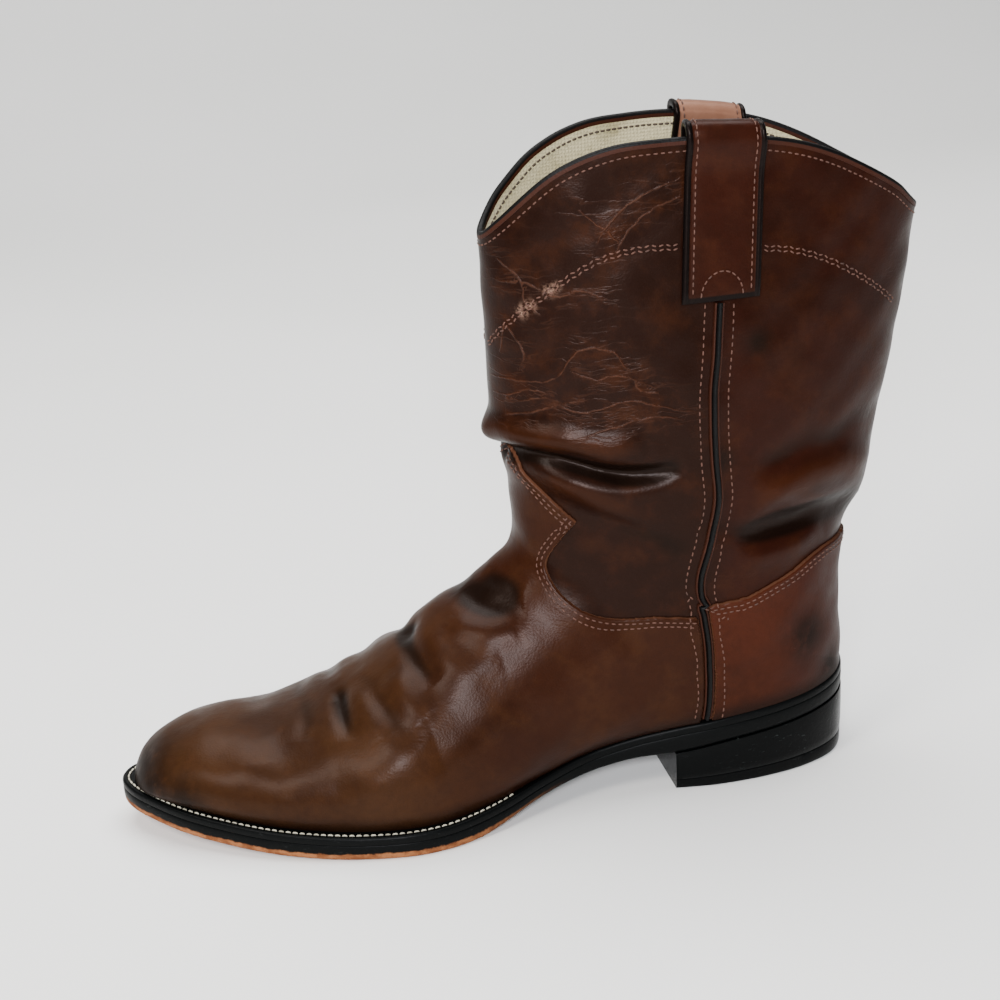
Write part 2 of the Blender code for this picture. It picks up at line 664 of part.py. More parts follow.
def make_welt():
    """Strip round the whole boot under the upper's edge, standing out as a ledge."""
    def hidden(x):
        return ledge(x) + WALL + INSOLE_SHELF

    loops = []
    for inset, share in ((lambda x: 0 * x, 0.0), (lambda x: 0 * x, 0.7),
                         (lambda x: 0 * x + 0.6 * EDGE_ROUND, 1.0), (hidden, 1.0), (hidden, 0.0)):
        x, outer, inner = stations(inset, SOLE_STATIONS)
        height = welt_top(x) - WELT_THICKNESS * (1 - share)
        one = np.stack([x, outer, height], -1)
        other = np.stack([x, inner, height], -1)
        loops.append(np.vstack([one, other[-2:0:-1]]))
    return tube("welt", np.stack(loops, axis=1), joined=True)


def make_outsole():
    """Leather sole with arch and toe spring, its edge a little rounded."""
    def top(x):
        return welt_top(x) - WELT_THICKNESS - FIT_GAP

    edge = ((EDGE_ROUND, 0.0), (0.25 * EDGE_ROUND, 0.14), (0.0, 0.35), (0.0, 1.0))
    return plate("outsole", lambda x: 0 * x, top, underside, edge, SOLE_STATIONS)


def make_insole():
    def inset(x):
        return ledge(x) + WALL + INSOLE_SHELF + FIT_GAP

    def top(x):
        return welt_top(x) + INSOLE_RISE

    def bottom(x):
        return welt_top(x) - WELT_THICKNESS

    return plate("insole", inset, top, bottom, ((0.0, 0.0), (0.0, 1.0)), SOLE_STATIONS)


def make_heel():
    """Stacked heel block under the seat, with an upright breast."""
    def top(x):
        return underside(x) - FIT_GAP

    edge = ((HEEL_TAPER + EDGE_ROUND, 0.0), (HEEL_TAPER, 0.05), (0.2 * HEEL_TAPER, 0.8), (0.0, 1.0))
    return plate("heel", lambda x: 0 * x, top, lambda x: 0 * x, edge, HEEL_STATIONS, far=HEEL_DEPTH)


LOOKS = {
    "upper": ((0.085, 0.034, 0.018), 0.42),
    "vamp": ((0.105, 0.043, 0.022), 0.45),
    "counter": ((0.120, 0.046, 0.023), 0.45),
    "side_piping_lateral": ((0.010, 0.009, 0.009), 0.30),
    "side_piping_medial": ((0.010, 0.009, 0.009), 0.30),
    "pull_strap_lateral": ((0.090, 0.036, 0.020), 0.45),
    "pull_strap_medial": ((0.150, 0.060, 0.032), 0.50),
    "collar_binding": ((0.022, 0.012, 0.009), 0.50),
    "insole": ((0.420, 0.330, 0.210), 0.80),
    "welt": ((0.012, 0.012, 0.012), 0.40),
    "outsole": ((0.060, 0.034, 0.020), 0.55),
    "heel": ((0.010, 0.010, 0.011), 0.35),
}


def finish(things, cutters):
    """Materials and collections."""
    boot = bpy.data.collections.new("roper_boot")
    shop = bpy.data.collections.new("cutters")
    for collection in (boot, shop):
        bpy.context.scene.collection.children.link(collection)
    for thing in things:
        colour, rough = LOOKS[thing.name]
        material = bpy.data.materials.new(thing.name + "_look")
        material.use_nodes = True
        shader = material.node_tree.nodes["Principled BSDF"]
        shader.inputs["Base Color"].default_value = (*colour, 1.0)
        shader.inputs["Roughness"].default_value = rough
        thing.data.materials.clear()
        thing.data.materials.append(material)
    for group, collection in ((things, boot), (cutters, shop)):
        for thing in group:
            bpy.context.scene.collection.objects.unlink(thing)
            collection.objects.link(thing)
    for cutter in cutters:
        cutter.hide_render = True
        cutter.display_type = "WIRE"


def build():
    for thing in list(bpy.data.objects):
        bpy.data.objects.remove(thing, do_unlink=True)
    points, closed = upper_grid()
    normals = grid_normals(points, closed)
    numbers = list(FOOT_ROWS + SHAFT_ROWS)
    last = numbers.index(OVERLAY_TOP_ROW)
    back = numbers.index(COUNTER_FIRST_ROW)
    things = [
        make_upper(points, normals, closed),
        make_overlay("vamp", points, normals, closed, 0, last, vamp_outline()),
        make_overlay("counter", points, normals, closed, back, last, counter_outline()),
        make_piping("side_piping_lateral", 1.0),
        make_piping("side_piping_medial", -1.0),
        make_strap("pull_strap_lateral", 1.0),
        make_strap("pull_strap_medial", -1.0),
        make_binding(points, normals),
        make_insole(),
        make_welt(),
        make_outsole(),
        make_heel(),
    ]
    cutters = [thing for thing in bpy.data.objects if thing.name.endswith("_cutter")]
    finish(things, cutters)


build()
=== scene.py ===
"""Roper boot, left foot: leather, lining, stitching, edges and soles as finished surfaces.

Every surface follows the boot's own form: rows of sections from the toe to the collar, each a
closed curve round the foot or leg. A place is a row number of SECTIONS, and across runs from 1 at
the outer low edge over 0 on the ridge to -1 at the inner low edge. Sizes are in metres. Tables
measure x from the heel's back, and finished points are moved so that the heel's middle is x = 0.
"""

import math

import bpy
import numpy as np
from mathutils import Matrix, Vector


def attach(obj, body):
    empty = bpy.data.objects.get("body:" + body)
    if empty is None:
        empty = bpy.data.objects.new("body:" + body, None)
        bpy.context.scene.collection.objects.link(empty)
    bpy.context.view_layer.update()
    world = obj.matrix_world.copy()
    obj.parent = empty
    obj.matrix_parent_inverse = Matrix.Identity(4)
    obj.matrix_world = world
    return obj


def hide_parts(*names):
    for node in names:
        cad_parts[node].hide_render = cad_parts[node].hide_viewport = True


bl_info = {
    "name": "Roper boot",
    "version": (1, 0, 0),
    "blender": (4, 5, 0),
    "location": "View3D > Sidebar > Boot",
    "description": "Finished surfaces of a pull-on leather roper boot",
    "category": "Object",
}

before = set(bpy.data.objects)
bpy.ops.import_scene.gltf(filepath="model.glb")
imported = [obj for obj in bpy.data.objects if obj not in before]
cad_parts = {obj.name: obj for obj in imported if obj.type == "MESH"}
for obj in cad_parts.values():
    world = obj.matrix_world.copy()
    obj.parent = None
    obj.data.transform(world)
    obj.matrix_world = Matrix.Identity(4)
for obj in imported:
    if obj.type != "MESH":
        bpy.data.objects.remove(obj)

# Driving sizes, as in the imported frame
SOLE_LENGTH = 0.300
BALL_WIDTH = 0.104
SHAFT_HEIGHT = 0.2655
HEEL_CENTRE = 0.036
HEEL_DEPTH = 0.080
SEAT_HEIGHT = 0.038
SOLE_STACK = 0.0100
TOE_SPRING = 0.0095
WELT_THICKNESS = 0.0032
WELT_LEDGE = 0.0066
HEEL_TAPER = 0.0008
WALL = 0.0022
OVERLAY = 0.0013
FIT_GAP = 0.0003
PIPING_WIDTH = 0.0038
PIPING_START = 0.0016
PIPING_END_GAP = 0.0010
SEAM_ALLOWANCE = 0.0004
STRAP_WIDTH = 0.030
STRAP_THICKNESS = 0.0024
STRAP_STAND = 0.0005
STRAP_BOTTOM = 0.205
STRAP_INNER_BOTTOM = 0.226
STRAP_RISE = 0.0058
STRAP_RISE_INNER = 0.0034
STRAP_ARCH_REACH = 0.0032
STRAP_BEND_DROP = 0.010
BEAD_WIDTH = 0.0034
BEAD_HEIGHT = 0.0022
RIM_DROP = 0.0025
STRAP_ROW = 0.0039
STRAP_ARC_FOOT = 0.0015
STRAP_ARC_HEIGHT = 0.0095
STRAP_ARC_REACH = 0.0080
WELT_STITCH_INSET = 0.0026
WELT_STITCH_START = 0.148
FOOT_FULLNESS = 1.03
ARCH_SQUARENESS = 0.75

# Plan of the outsole. Columns: way along the sole, outer edge, inner edge.
OUTLINE = (
    (0.000, 0.000, 0.000), (0.007, 0.110, -0.110), (0.027, 0.200, -0.200),
    (0.060, 0.262, -0.262), (0.105, 0.305, -0.303), (0.160, 0.326, -0.322),
    (0.215, 0.326, -0.315), (0.270, 0.302, -0.278), (0.325, 0.276, -0.243),
    (0.385, 0.275, -0.232), (0.450, 0.322, -0.275), (0.520, 0.410, -0.365),
    (0.585, 0.472, -0.443), (0.640, 0.486, -0.490), (0.700, 0.455, -0.514),
    (0.760, 0.402, -0.512), (0.820, 0.330, -0.490), (0.875, 0.240, -0.450),
    (0.925, 0.140, -0.388), (0.965, 0.030, -0.312), (0.990, -0.060, -0.240),
    (1.000, -0.150, -0.150),
)

# Side of the sole. Columns: way along, welt rise, underside rise, toe spring, share of the ledge.
PROFILE = (
    (0.000, 1.000, 0.982, 0.00, 0.33), (0.050, 0.893, 0.893, 0.00, 0.33),
    (0.120, 0.804, 0.804, 0.00, 0.33), (0.200, 0.725, 0.714, 0.00, 0.34),
    (0.260, 0.643, 0.605, 0.00, 0.37), (0.330, 0.505, 0.536, 0.00, 0.42),
    (0.390, 0.370, 0.430, 0.00, 0.50), (0.450, 0.215, 0.295, 0.00, 0.62),
    (0.500, 0.105, 0.150, 0.00, 0.76), (0.540, 0.045, 0.035, 0.00, 0.88),
    (0.580, 0.012, 0.000, 0.00, 0.94), (0.640, 0.000, 0.000, 0.00, 0.98),
    (0.720, 0.000, 0.000, 0.00, 1.00), (0.800, 0.000, 0.000, 0.13, 1.00),
    (0.870, 0.000, 0.000, 0.36, 1.00), (0.940, 0.000, 0.000, 0.66, 1.00),
    (1.000, 0.000, 0.000, 1.00, 1.00),
)

# Sections. Columns: low point x and z, top point x and z, middle y, half width outwards, half
# width inwards, height of the widest place, crown.
SECTIONS = (
    (0.9780, 0.000, 0.9780, 0.0715, -0.142, 0.005, 0.005, 0.30, 1.00),
    (0.9740, 0.000, 0.9735, 0.0850, -0.142, 0.087, 0.080, 0.30, 1.00),
    (0.9620, 0.000, 0.9600, 0.1080, -0.140, 0.160, 0.145, 0.30, 1.00),
    (0.9400, 0.000, 0.9360, 0.1300, -0.133, 0.224, 0.212, 0.30, 0.95),
    (0.9040, 0.000, 0.8980, 0.1455, -0.122, 0.283, 0.276, 0.30, 0.92),
    (0.8520, 0.000, 0.8450, 0.1530, -0.108, 0.353, 0.339, 0.28, 0.92),
    (0.7925, 0.000, 0.7825, 0.1560, -0.092, 0.411, 0.377, 0.26, 0.95),
    (0.7233, 0.000, 0.7117, 0.1870, -0.077, 0.459, 0.397, 0.25, 1.00),
    (0.6367, 0.000, 0.6533, 0.2235, -0.063, 0.483, 0.401, 0.25, 1.05),
    (0.5433, 0.000, 0.6000, 0.2630, -0.048, 0.454, 0.382, 0.27, 1.08),
    (0.4467, 0.000, 0.5460, 0.3075, -0.038, 0.397, 0.349, 0.30, 1.05),
    (0.3533, 0.000, 0.4950, 0.3455, -0.029, 0.358, 0.330, 0.32, 1.00),
    (0.2467, 0.000, 0.4590, 0.3740, -0.019, 0.341, 0.322, 0.30, 0.95),
    (0.1333, 0.000, 0.4455, 0.4020, -0.010, 0.332, 0.322, 0.30, 0.90),
    (0.0467, 0.000, 0.4450, 0.4369, 0.000, 0.332, 0.325, 0.32, 0.90),
    (0.0073, 0.144, 0.4455, 0.4727, 0.000, 0.336, 0.330, 0.36, 0.92),
    (0.0075, 0.226, 0.4475, 0.5085, 0.000, 0.345, 0.340, 0.42, 0.95),
    (0.0060, 0.301, 0.4580, 0.5424, 0.000, 0.357, 0.352, 0.46, 1.00),
    (-0.0040, 0.365, 0.4683, 0.5763, 0.000, 0.363, 0.359, 0.50, 1.00),
    (-0.0317, 0.414, 0.4700, 0.6139, 0.000, 0.365, 0.361, 0.50, 1.00),
    (-0.0400, 0.471, 0.4700, 0.6591, 0.000, 0.365, 0.361, 0.50, 1.00),
    (-0.0550, 0.546, 0.4700, 0.7119, 0.000, 0.365, 0.365, 0.50, 1.00),
    (-0.0733, 0.633, 0.4700, 0.7684, 0.000, 0.356, 0.356, 0.50, 1.00),
    (-0.0900, 0.727, 0.4700, 0.8286, 0.000, 0.337, 0.337, 0.50, 1.00),
    (-0.1050, 0.829, 0.4700, 0.9040, 0.000, 0.313, 0.313, 0.50, 1.03),
    (-0.1200, 0.934, 0.4717, 0.9755, 0.000, 0.293, 0.293, 0.50, 1.06),
    (-0.1300, 1.025, 0.4733, 1.0433, 0.000, 0.284, 0.284, 0.50, 1.08),
)
CLOSING_ROW = 15

# Edge of the collar from the side. Columns: x, z.
COLLAR = (
    (-0.130, 0.842), (-0.100, 0.856), (-0.063, 0.893), (-0.022, 0.923), (0.027, 0.954),
    (0.072, 0.975), (0.125, 0.990), (0.185, 0.998), (0.250, 1.000), (0.316, 0.995),
    (0.354, 0.982), (0.390, 0.961), (0.427, 0.926), (0.450, 0.900), (0.475, 0.868),
)

# Side seams. Columns: z, x on the outer side, x on the inner side.
SEAM = (
    (0.090, 0.226, 0.226), (0.160, 0.220, 0.220), (0.230, 0.220, 0.220), (0.300, 0.226, 0.226),
    (0.350, 0.229, 0.227), (0.405, 0.218, 0.214), (0.465, 0.206, 0.199), (0.545, 0.208, 0.194),
    (0.630, 0.208, 0.184), (0.700, 0.201, 0.170), (0.770, 0.195, 0.157), (1.050, 0.175, 0.135),
)

# Rear edge of the vamp: the part below its corner, then its tongue. Columns: x, z.
VAMP_SIDE = (
    (0.288, 0.296), (0.339, 0.298), (0.378, 0.312), (0.405, 0.338), (0.418, 0.368),
    (0.416, 0.391), (0.403, 0.417), (0.381, 0.452),
)
VAMP_TONGUE = ((0.381, 0.452), (0.410, 0.487), (0.438, 0.525), (0.452, 0.545), (0.520, 0.600))

# Upper edge of the counter. Columns: x, z.
COUNTER_LINE = ((0.165, 0.314), (0.105, 0.336), (0.060, 0.354), (0.025, 0.359), (-0.100, 0.356))

# Middle of the pull straps. Columns as in SEAM.
STRAP_LINE = ((0.760, 0.195, 0.157), (1.040, 0.174, 0.134))

# Creases. Columns: height in mm (under 0 is a trough), width in mm, share of the
# height on the inner side, share of it at the line's start, and the line as place and across.
FOLDS = (
    (-5.2, 4.0, 0.8, 0.6, ((17.10, 0.000), (17.85, 0.180), (18.10, 0.270), (18.20, 0.330),
                           (18.40, 0.380), (18.85, 0.430), (19.30, 0.460))),
    (3.2, 5.5, 0.8, 0.7, ((18.10, 0.000), (18.70, 0.170), (19.05, 0.270), (19.20, 0.340),
                          (19.45, 0.400))),
    (2.4, 6.5, 0.8, 0.0, ((16.60, 0.088), (17.10, 0.193), (17.30, 0.274), (17.15, 0.329),
                          (17.00, 0.377), (17.14, 0.439))),
    (-1.7, 6.5, 0.7, 0.0, ((16.10, 0.260), (16.30, 0.329), (16.30, 0.391), (16.40, 0.456))),
    (1.5, 7.5, 0.7, 0.0, ((14.00, 0.222), (15.00, 0.243), (15.50, 0.313), (15.70, 0.377))),
    (3.0, 7.5, 0.8, 0.0, ((18.28, 0.545), (18.84, 0.601), (19.39, 0.659), (19.80, 0.723),
                          (19.98, 0.826), (20.00, 0.960))),
    (-3.6, 6.5, 0.8, 0.2, ((17.40, 0.530), (17.66, 0.611), (18.09, 0.697), (18.57, 0.771),
                           (18.72, 0.860), (18.75, 0.970))),
    (-1.4, 8.0, 0.8, 0.0, ((19.58, 0.544), (19.72, 0.601), (20.12, 0.663), (20.52, 0.735),
                           (20.89, 0.800), (21.10, 0.930))),
    (1.4, 5.5, 0.7, 0.0, ((16.60, 0.525), (16.94, 0.597), (17.43, 0.687), (18.00, 0.790))),
    (-2.7, 6.6, 0.5, 0.4, ((10.35, 0.000), (10.51, 0.069), (10.66, 0.162), (10.98, 0.235),
                           (11.50, 0.285))),
    (-1.6, 5.0, 0.3, 0.2, ((11.05, 0.000), (11.20, 0.091), (11.38, 0.174), (11.62, 0.255))),
    (1.2, 6.0, 0.5, 0.0, ((9.80, 0.120), (10.10, 0.220), (10.50, 0.300), (11.00, 0.340))),
    (-1.9, 5.2, 0.8, 0.90, ((9.02, 0.000), (8.93, 0.060), (8.97, 0.204), (9.07, 0.300),
                            (9.15, 0.370))),
    (1.3, 8.0, 0.7, 0.3, ((9.60, 0.000), (9.45, 0.169), (9.52, 0.300), (9.86, 0.374),
                          (10.40, 0.400))),
    (-1.5, 5.6, 0.7, 0.2, ((7.78, 0.030), (7.85, 0.174), (7.99, 0.313), (8.11, 0.404),
                           (8.26, 0.490), (8.50, 0.610))),
    (1.3, 7.5, 0.7, 0.1, ((8.42, 0.180), (8.43, 0.290), (8.52, 0.400), (8.70, 0.520))),
    (-1.9, 3.8, 0.7, 0.3, ((7.17, 0.050), (7.17, 0.160), (7.18, 0.290), (7.23, 0.440))),
    (0.8, 6.0, 0.7, 0.0, ((7.52, 0.100), (7.60, 0.220), (7.74, 0.350), (7.91, 0.490))),
    (-1.1, 4.5, 0.8, 0.5, ((6.50, 0.000), (6.49, 0.092), (6.48, 0.220), (6.36, 0.330))),
    (-0.5, 8.0, 1.0, 0.2, ((5.76, 0.000), (5.65, 0.190), (5.64, 0.420))),
)

# Fine pale wrinkles of the front panel, as place and across.
VEINS = (
    ((23.69, 0.313), (24.22, 0.348), (24.57, 0.387), (24.86, 0.442)),
    ((23.56, 0.341), (24.07, 0.372), (24.36, 0.403), (24.56, 0.442)),
    ((20.16, 0.029), (20.39, 0.153), (20.71, 0.234), (21.31, 0.265), (21.64, 0.296),
     (21.67, 0.341), (21.37, 0.360), (21.35, 0.382)),
    ((19.54, 0.038), (19.81, 0.150), (20.13, 0.217), (19.98, 0.274), (20.31, 0.329),
     (20.66, 0.375), (20.65, 0.425), (20.66, 0.470)),
    ((19.17, 0.103), (19.58, 0.186), (20.09, 0.246), (20.39, 0.298)),
    ((22.78, 0.095), (22.85, 0.184), (22.66, 0.241), (22.87, 0.282), (22.77, 0.327)),
    ((23.26, 0.100), (22.91, 0.165), (22.43, 0.177), (22.18, 0.212)),
    ((21.02, 0.265), (20.95, 0.313), (21.17, 0.351), (21.04, 0.411)),
    ((19.39, 0.298), (19.93, 0.353), (20.36, 0.406), (20.48, 0.463)),
    ((21.24, 0.372), (20.95, 0.384), (20.94, 0.418)),
    ((20.94, 0.095), (21.72, 0.117), (21.17, 0.167), (20.64, 0.153)),
    ((24.30, 0.286), (24.00, 0.322), (23.72, 0.356)),
    ((19.69, 0.038), (19.80, 0.105), (20.22, 0.177), (20.28, 0.239)),
)

# Wrinkles are worked out this far from their lines. They fade over the spread, and the fine
# ones about them over the creased spread.
VEIN_REACH = 0.018
VEIN_SPREAD = 0.0018
CREASED_SPREAD = 0.0055

# Scuffed spots. Columns: place, across, radius in mm.
SCUFFS = (
    (1.4, 0.20, 17), (2.2, 0.60, 12), (3.6, 0.80, 10), (1.2, -0.40, 11), (4.6, -0.85, 9),
    (15.3, 0.68, 9), (14.6, 0.90, 8), (22.2, 0.56, 6), (19.6, 0.52, 5),
)

# Spots rubbed pale. Columns: place, across, radius in mm.
RUBBED = ((22.20, 0.170, 2.2), (22.36, 0.188, 2.0), (22.78, 0.230, 2.0), (22.88, 0.242, 1.6))

# Ornamental stitched arc over each side of the shaft, front half and back half.
ARC_FRONT = ((21.00, 0.031), (21.72, 0.117), (22.40, 0.193), (23.01, 0.258), (23.45, 0.320),
             (23.66, 0.377), (23.74, 0.436))
ARC_BACK = ((23.74, 0.556), (23.71, 0.601), (23.57, 0.659), (23.31, 0.730), (22.84, 0.854))


# Form of the boot

def catmull(table, place):
    """Smooth curve through evenly spaced rows: the cubic of four neighbours at place."""
    rows = np.asarray(table, float)
    last = len(rows) - 1
    place = np.clip(np.asarray(place, float), 0, last)
    index = np.minimum(place.astype(int), last - 1)
    part = (place - index)[..., None]
    padded = np.vstack([2 * rows[0] - rows[1], rows, 2 * rows[-1] - rows[-2]])
    before, start, end, after = (padded[index + k] for k in range(4))
    slope = end - before
    bend = 2 * before - 5 * start + 4 * end - after
    twist = 3 * start - before - 3 * end + after
    return 0.5 * (2 * start + slope * part + bend * part ** 2 + twist * part ** 3)


def through(table, where, column=1):
    """Smooth curve through unevenly spaced rows, column against the first one."""
    rows = np.asarray(table, float)
    xs, ys = rows[:, 0], rows[:, column]
    slopes = np.gradient(ys, xs)
    where = np.clip(where, xs[0], xs[-1])
    index = np.clip(np.searchsorted(xs, where) - 1, 0, len(xs) - 2)
    step = xs[index + 1] - xs[index]
    part = (where - xs[index]) / step
    rest = 1 - part
    ends = ys[index] * (1 + 2 * part) * rest ** 2 + ys[index + 1] * part ** 2 * (3 - 2 * part)
    tangents = slopes[index] * part * rest ** 2 - slopes[index + 1] * part ** 2 * rest
    return ends + tangents * step


def ledge(x):
    """How far the welt stands out past the upper at x."""
    return WELT_LEDGE * through(PROFILE, x / SOLE_LENGTH, 4)


def welt_top(x):
    """Height of the welt's upper face: sole, rise to the seat and toe spring."""
    share = x / SOLE_LENGTH
    return (SOLE_STACK + (SEAT_HEIGHT - SOLE_STACK) * through(PROFILE, share, 1)
            + TOE_SPRING * through(PROFILE, share, 3))


def underside(x):
    """Height of the outsole's lower face, which never goes under the floor."""
    share = x / SOLE_LENGTH
    rise = (SEAT_HEIGHT - SOLE_STACK) * through(PROFILE, share, 2)
    return np.maximum(rise, 0) + TOE_SPRING * np.maximum(through(PROFILE, share, 3), 0)


def sole_loop():
    """The sole's plan as one smooth closed line, outwards to the toe and back along the arch."""
    rows = [(x, outer) for x, outer, inner in OUTLINE]
    rows += [(x, inner) for x, outer, inner in OUTLINE[-2:0:-1]]
    around = np.array(rows[-2:] + rows + rows[:3])
    line = catmull(around, 2 + np.linspace(0, len(rows), 1200, endpoint=False))
    return line * np.array([SOLE_LENGTH, BALL_WIDTH])


def edges(inset):
    """Outer and inner edge of the sole's plan, moved inwards by inset(x), heel to toe."""
    line = sole_loop()
    along = np.roll(line, -1, axis=0) - np.roll(line, 1, axis=0)
    inward = np.stack([along[:, 1], -along[:, 0]], -1)
    inward /= np.linalg.norm(inward, axis=-1, keepdims=True)
    line = line + inset(line[:, 0])[:, None] * inward
    line = np.roll(line, -int(np.argmin(line[:, 0])), axis=0)
    toe = int(np.argmax(line[:, 0]))
    outer = line[:toe + 1]
    inner = np.vstack([line[toe:], line[:1]])[::-1]
    return (outer[:, 0], outer[:, 1]), (inner[:, 0], inner[:, 1])


def stations(inset, count, far=None):
    """x, outer y and inner y at count places, closer together near round ends."""
    (outer_x, outer_y), (inner_x, inner_y) = edges(inset)
    first, last = outer_x[0], outer_x[-1]
    if far is None:
        x = first + (last - first) * (1 - np.cos(np.linspace(0, math.pi, count))) / 2
    else:
        x = first + (far - first) * (1 - np.cos(np.linspace(0, math.pi / 2, count)))
    return x, np.interp(x, outer_x, outer_y), np.interp(x, inner_x, inner_y)


FEATHER = edges(ledge)


def skin(place, across):
    """Point of the boot's outer form.

    With angle a from the section's widest place, x and z go from the low point to the top point
    by the share rise(a), and y = middle + side * reach * cos(a) ** crown above the widest place.
    """
    place, across = np.broadcast_arrays(np.asarray(place, float), np.asarray(across, float))
    row = catmull(SECTIONS, place)
    side = np.where(across >= 0, 1.0, -1.0)
    turn = 1 - np.abs(across)
    low_x, top_x = row[..., 0] * SOLE_LENGTH, row[..., 2] * SOLE_LENGTH
    low_z, top_z = row[..., 1] * SHAFT_HEIGHT, row[..., 3] * SHAFT_HEIGHT
    middle = row[..., 4] * BALL_WIDTH
    reach = np.where(side > 0, row[..., 5], row[..., 6]) * BALL_WIDTH
    widest, crown = row[..., 7], row[..., 8]
    (outer_x, outer_y), (inner_x, inner_y) = FEATHER
    on_sole = place < CLOSING_ROW
    low_x = np.where(on_sole, np.clip(low_x, outer_x[0], outer_x[-1]), low_x)
    seat = welt_top(low_x) + FIT_GAP
    low_z = np.where(place <= CLOSING_ROW, seat, np.maximum(low_z, seat))
    outer_foot = np.interp(low_x, outer_x, outer_y) - middle
    inner_foot = middle - np.interp(low_x, inner_x, inner_y)
    foot = np.where(on_sole, np.maximum(np.where(side > 0, outer_foot, inner_foot), 0), 0)
    tip = np.clip(place / 0.05, 0, 1)
    foot, reach = foot * tip, np.maximum(reach, foot * FOOT_FULLNESS) * tip
    top_x = np.where(place <= 0, low_x, top_x)
    top_z = np.where(place <= 0, low_z, top_z)
    start = -np.arccos(np.clip(foot / np.maximum(reach, 1e-9), 0, 1))
    angle = start + (math.pi / 2 - start) * turn
    round_side = np.clip(np.cos(angle), 0, 1)
    width = reach * np.where(angle < 0, round_side, round_side ** crown)
    sweep = np.maximum(-np.sin(start), 1e-6)
    rise = np.where(angle < 0, widest * (1 + np.sin(angle) / sweep),
                    widest + (1 - widest) * np.sin(angle))
    return np.stack([low_x + (top_x - low_x) * rise, middle + side * width,
                     low_z + (top_z - low_z) * rise], -1)


def slopes(place, across):
    """Change of skin with place and with across, and the outward unit normal."""
    small = 0.004
    place, across = np.broadcast_arrays(np.asarray(place, float), np.asarray(across, float))
    place = np.clip(place, 0.03, len(SECTIONS) - 1.01)
    across_in = np.clip(across, -1 + small, 1 - small)
    low, high = place - small, place + small
    before = place < CLOSING_ROW
    high = np.where(before, np.minimum(high, CLOSING_ROW - 1e-6), high)
    low = np.where(before, low, np.maximum(low, CLOSING_ROW))
    along = (skin(high, across_in) - skin(low, across_in)) / (high - low)[..., None]
    around = (skin(place, across_in + small) - skin(place, across_in - small)) / (2 * small)
    normal = np.cross(around, along)
    at_back = (np.abs(across) > 0.9999) & (place >= CLOSING_ROW)
    normal[..., 1] = np.where(at_back, 0, normal[..., 1])
    normal /= np.maximum(np.linalg.norm(normal, axis=-1, keepdims=True), 1e-12)
    return along, around, normal


def dense(line, count):
    """The smooth line through a short list of points, count points long, with its way along."""
    way = np.linspace(0, len(line) - 1, count)
    return catmull(line, way), way / (len(line) - 1)


def fold_lines():
    """Each crease as height, width, points in space and taper, on both sides of the boot."""
    lines = []
    for tall, wide, inner, start, line in FOLDS:
        path, way = dense(line, 60)
        swell = np.clip(way / 0.35, 0, 1) ** 2 * (3 - 2 * np.clip(way / 0.35, 0, 1))
        taper = (start + (1 - start) * swell) * np.cos(0.5 * math.pi * way ** 2.5) ** 0.8
        for side, share in ((1.0, 1.0), (-1.0, inner)):
            points = skin(path[:, 0], side * path[:, 1])
            lines.append((tall * share * 0.001, wide * 0.001, points, taper))
    return lines


FOLD_LINES = fold_lines()


def nearest(points, line):
    """Distance from each point to a line of close points, and the number of the nearest one."""
    best = np.full(len(points), np.inf)
    which = np.zeros(len(points), int)
    for start in range(0, len(line), 16):
        block = line[start:start + 16]
        gap = np.linalg.norm(points[:, None] - block[None], axis=-1)
        spot = gap.argmin(1)
        value = gap[np.arange(len(points)), spot]
        closer = value < best
        best = np.where(closer, value, best)
        which = np.where(closer, start + spot, which)
    return best, which


# The creases grow from nothing at the welt to their height this far over it.
CREASE_START = 0.008


def relief(points):
    """Height of the creases at points on the skin: the sum of height * exp(-(d / width)^2)."""
    spread = points.reshape(-1, 3)
    height = np.zeros(len(spread))
    for tall, wide, line, taper in FOLD_LINES:
        low, high = line.min(0) - 2.6 * wide, line.max(0) + 2.6 * wide
        near = np.nonzero(np.all((spread > low) & (spread < high), axis=1))[0]
        if not len(near):
            continue
        gap, which = nearest(spread[near], line)
        height[near] += tall * taper[which] * np.exp(-(gap / wide) ** 2)
    # Slow unevenness of the hide, 0.4 mm high at most.
    x, y, z = spread.T
    height += 0.00022 * np.sin(210 * x + 60 * z + 1.0) * np.sin(170 * z - 90 * y)
    height += 0.00016 * np.sin(330 * z + 140 * y + 2.0) * np.cos(260 * x)
    over_welt = np.clip((z - welt_top(x)) / CREASE_START, 0, 1)
    height *= over_welt ** 2 * (3 - 2 * over_welt)
    return height.reshape(points.shape[:-1])


def leather(place, across, lift=0.0):
    """Point lift outside the creased leather, its outward normal and the crease's height there."""
    points = skin(place, across)
    normal = slopes(place, across)[2]
    fold = relief(points)
    moved = points + (fold + lift)[..., None] * normal
    moved[..., 2] = np.maximum(moved[..., 2], welt_top(moved[..., 0]) + 0.0001)
    return moved, normal, fold


# A side-view point is on the boot when the skin passes this close to it.
SIDE_MISS = 0.0006
# Distances from an overlay's edge are worked out up to here.
RIM_REACH = 0.03
# The shaft's leather goes on this far under the vamp and counter.
UNDERLAP = 0.004
# The overlays' rounded rim: distances from the edge, shares of the thickness and of the edge
# colour there, and the share of the edge colour on the wall below.
RIM_STEPS = (0.0, 0.00035, 0.0009)
RIM_HEIGHTS = (0.45, 0.84, 1.0)
RIM_PAINT = (1.0, 0.55, 0.0)
WALL_PAINT = 1.3
# Rows of SECTIONS that the pieces of leather start from or lie between.
SHAFT_FIRST_ROW = 11.4
LINING_FIRST_ROW = 0.5
VAMP_ROWS = (0.0, 18.2)
COUNTER_ROWS = (11.0, 18.6)
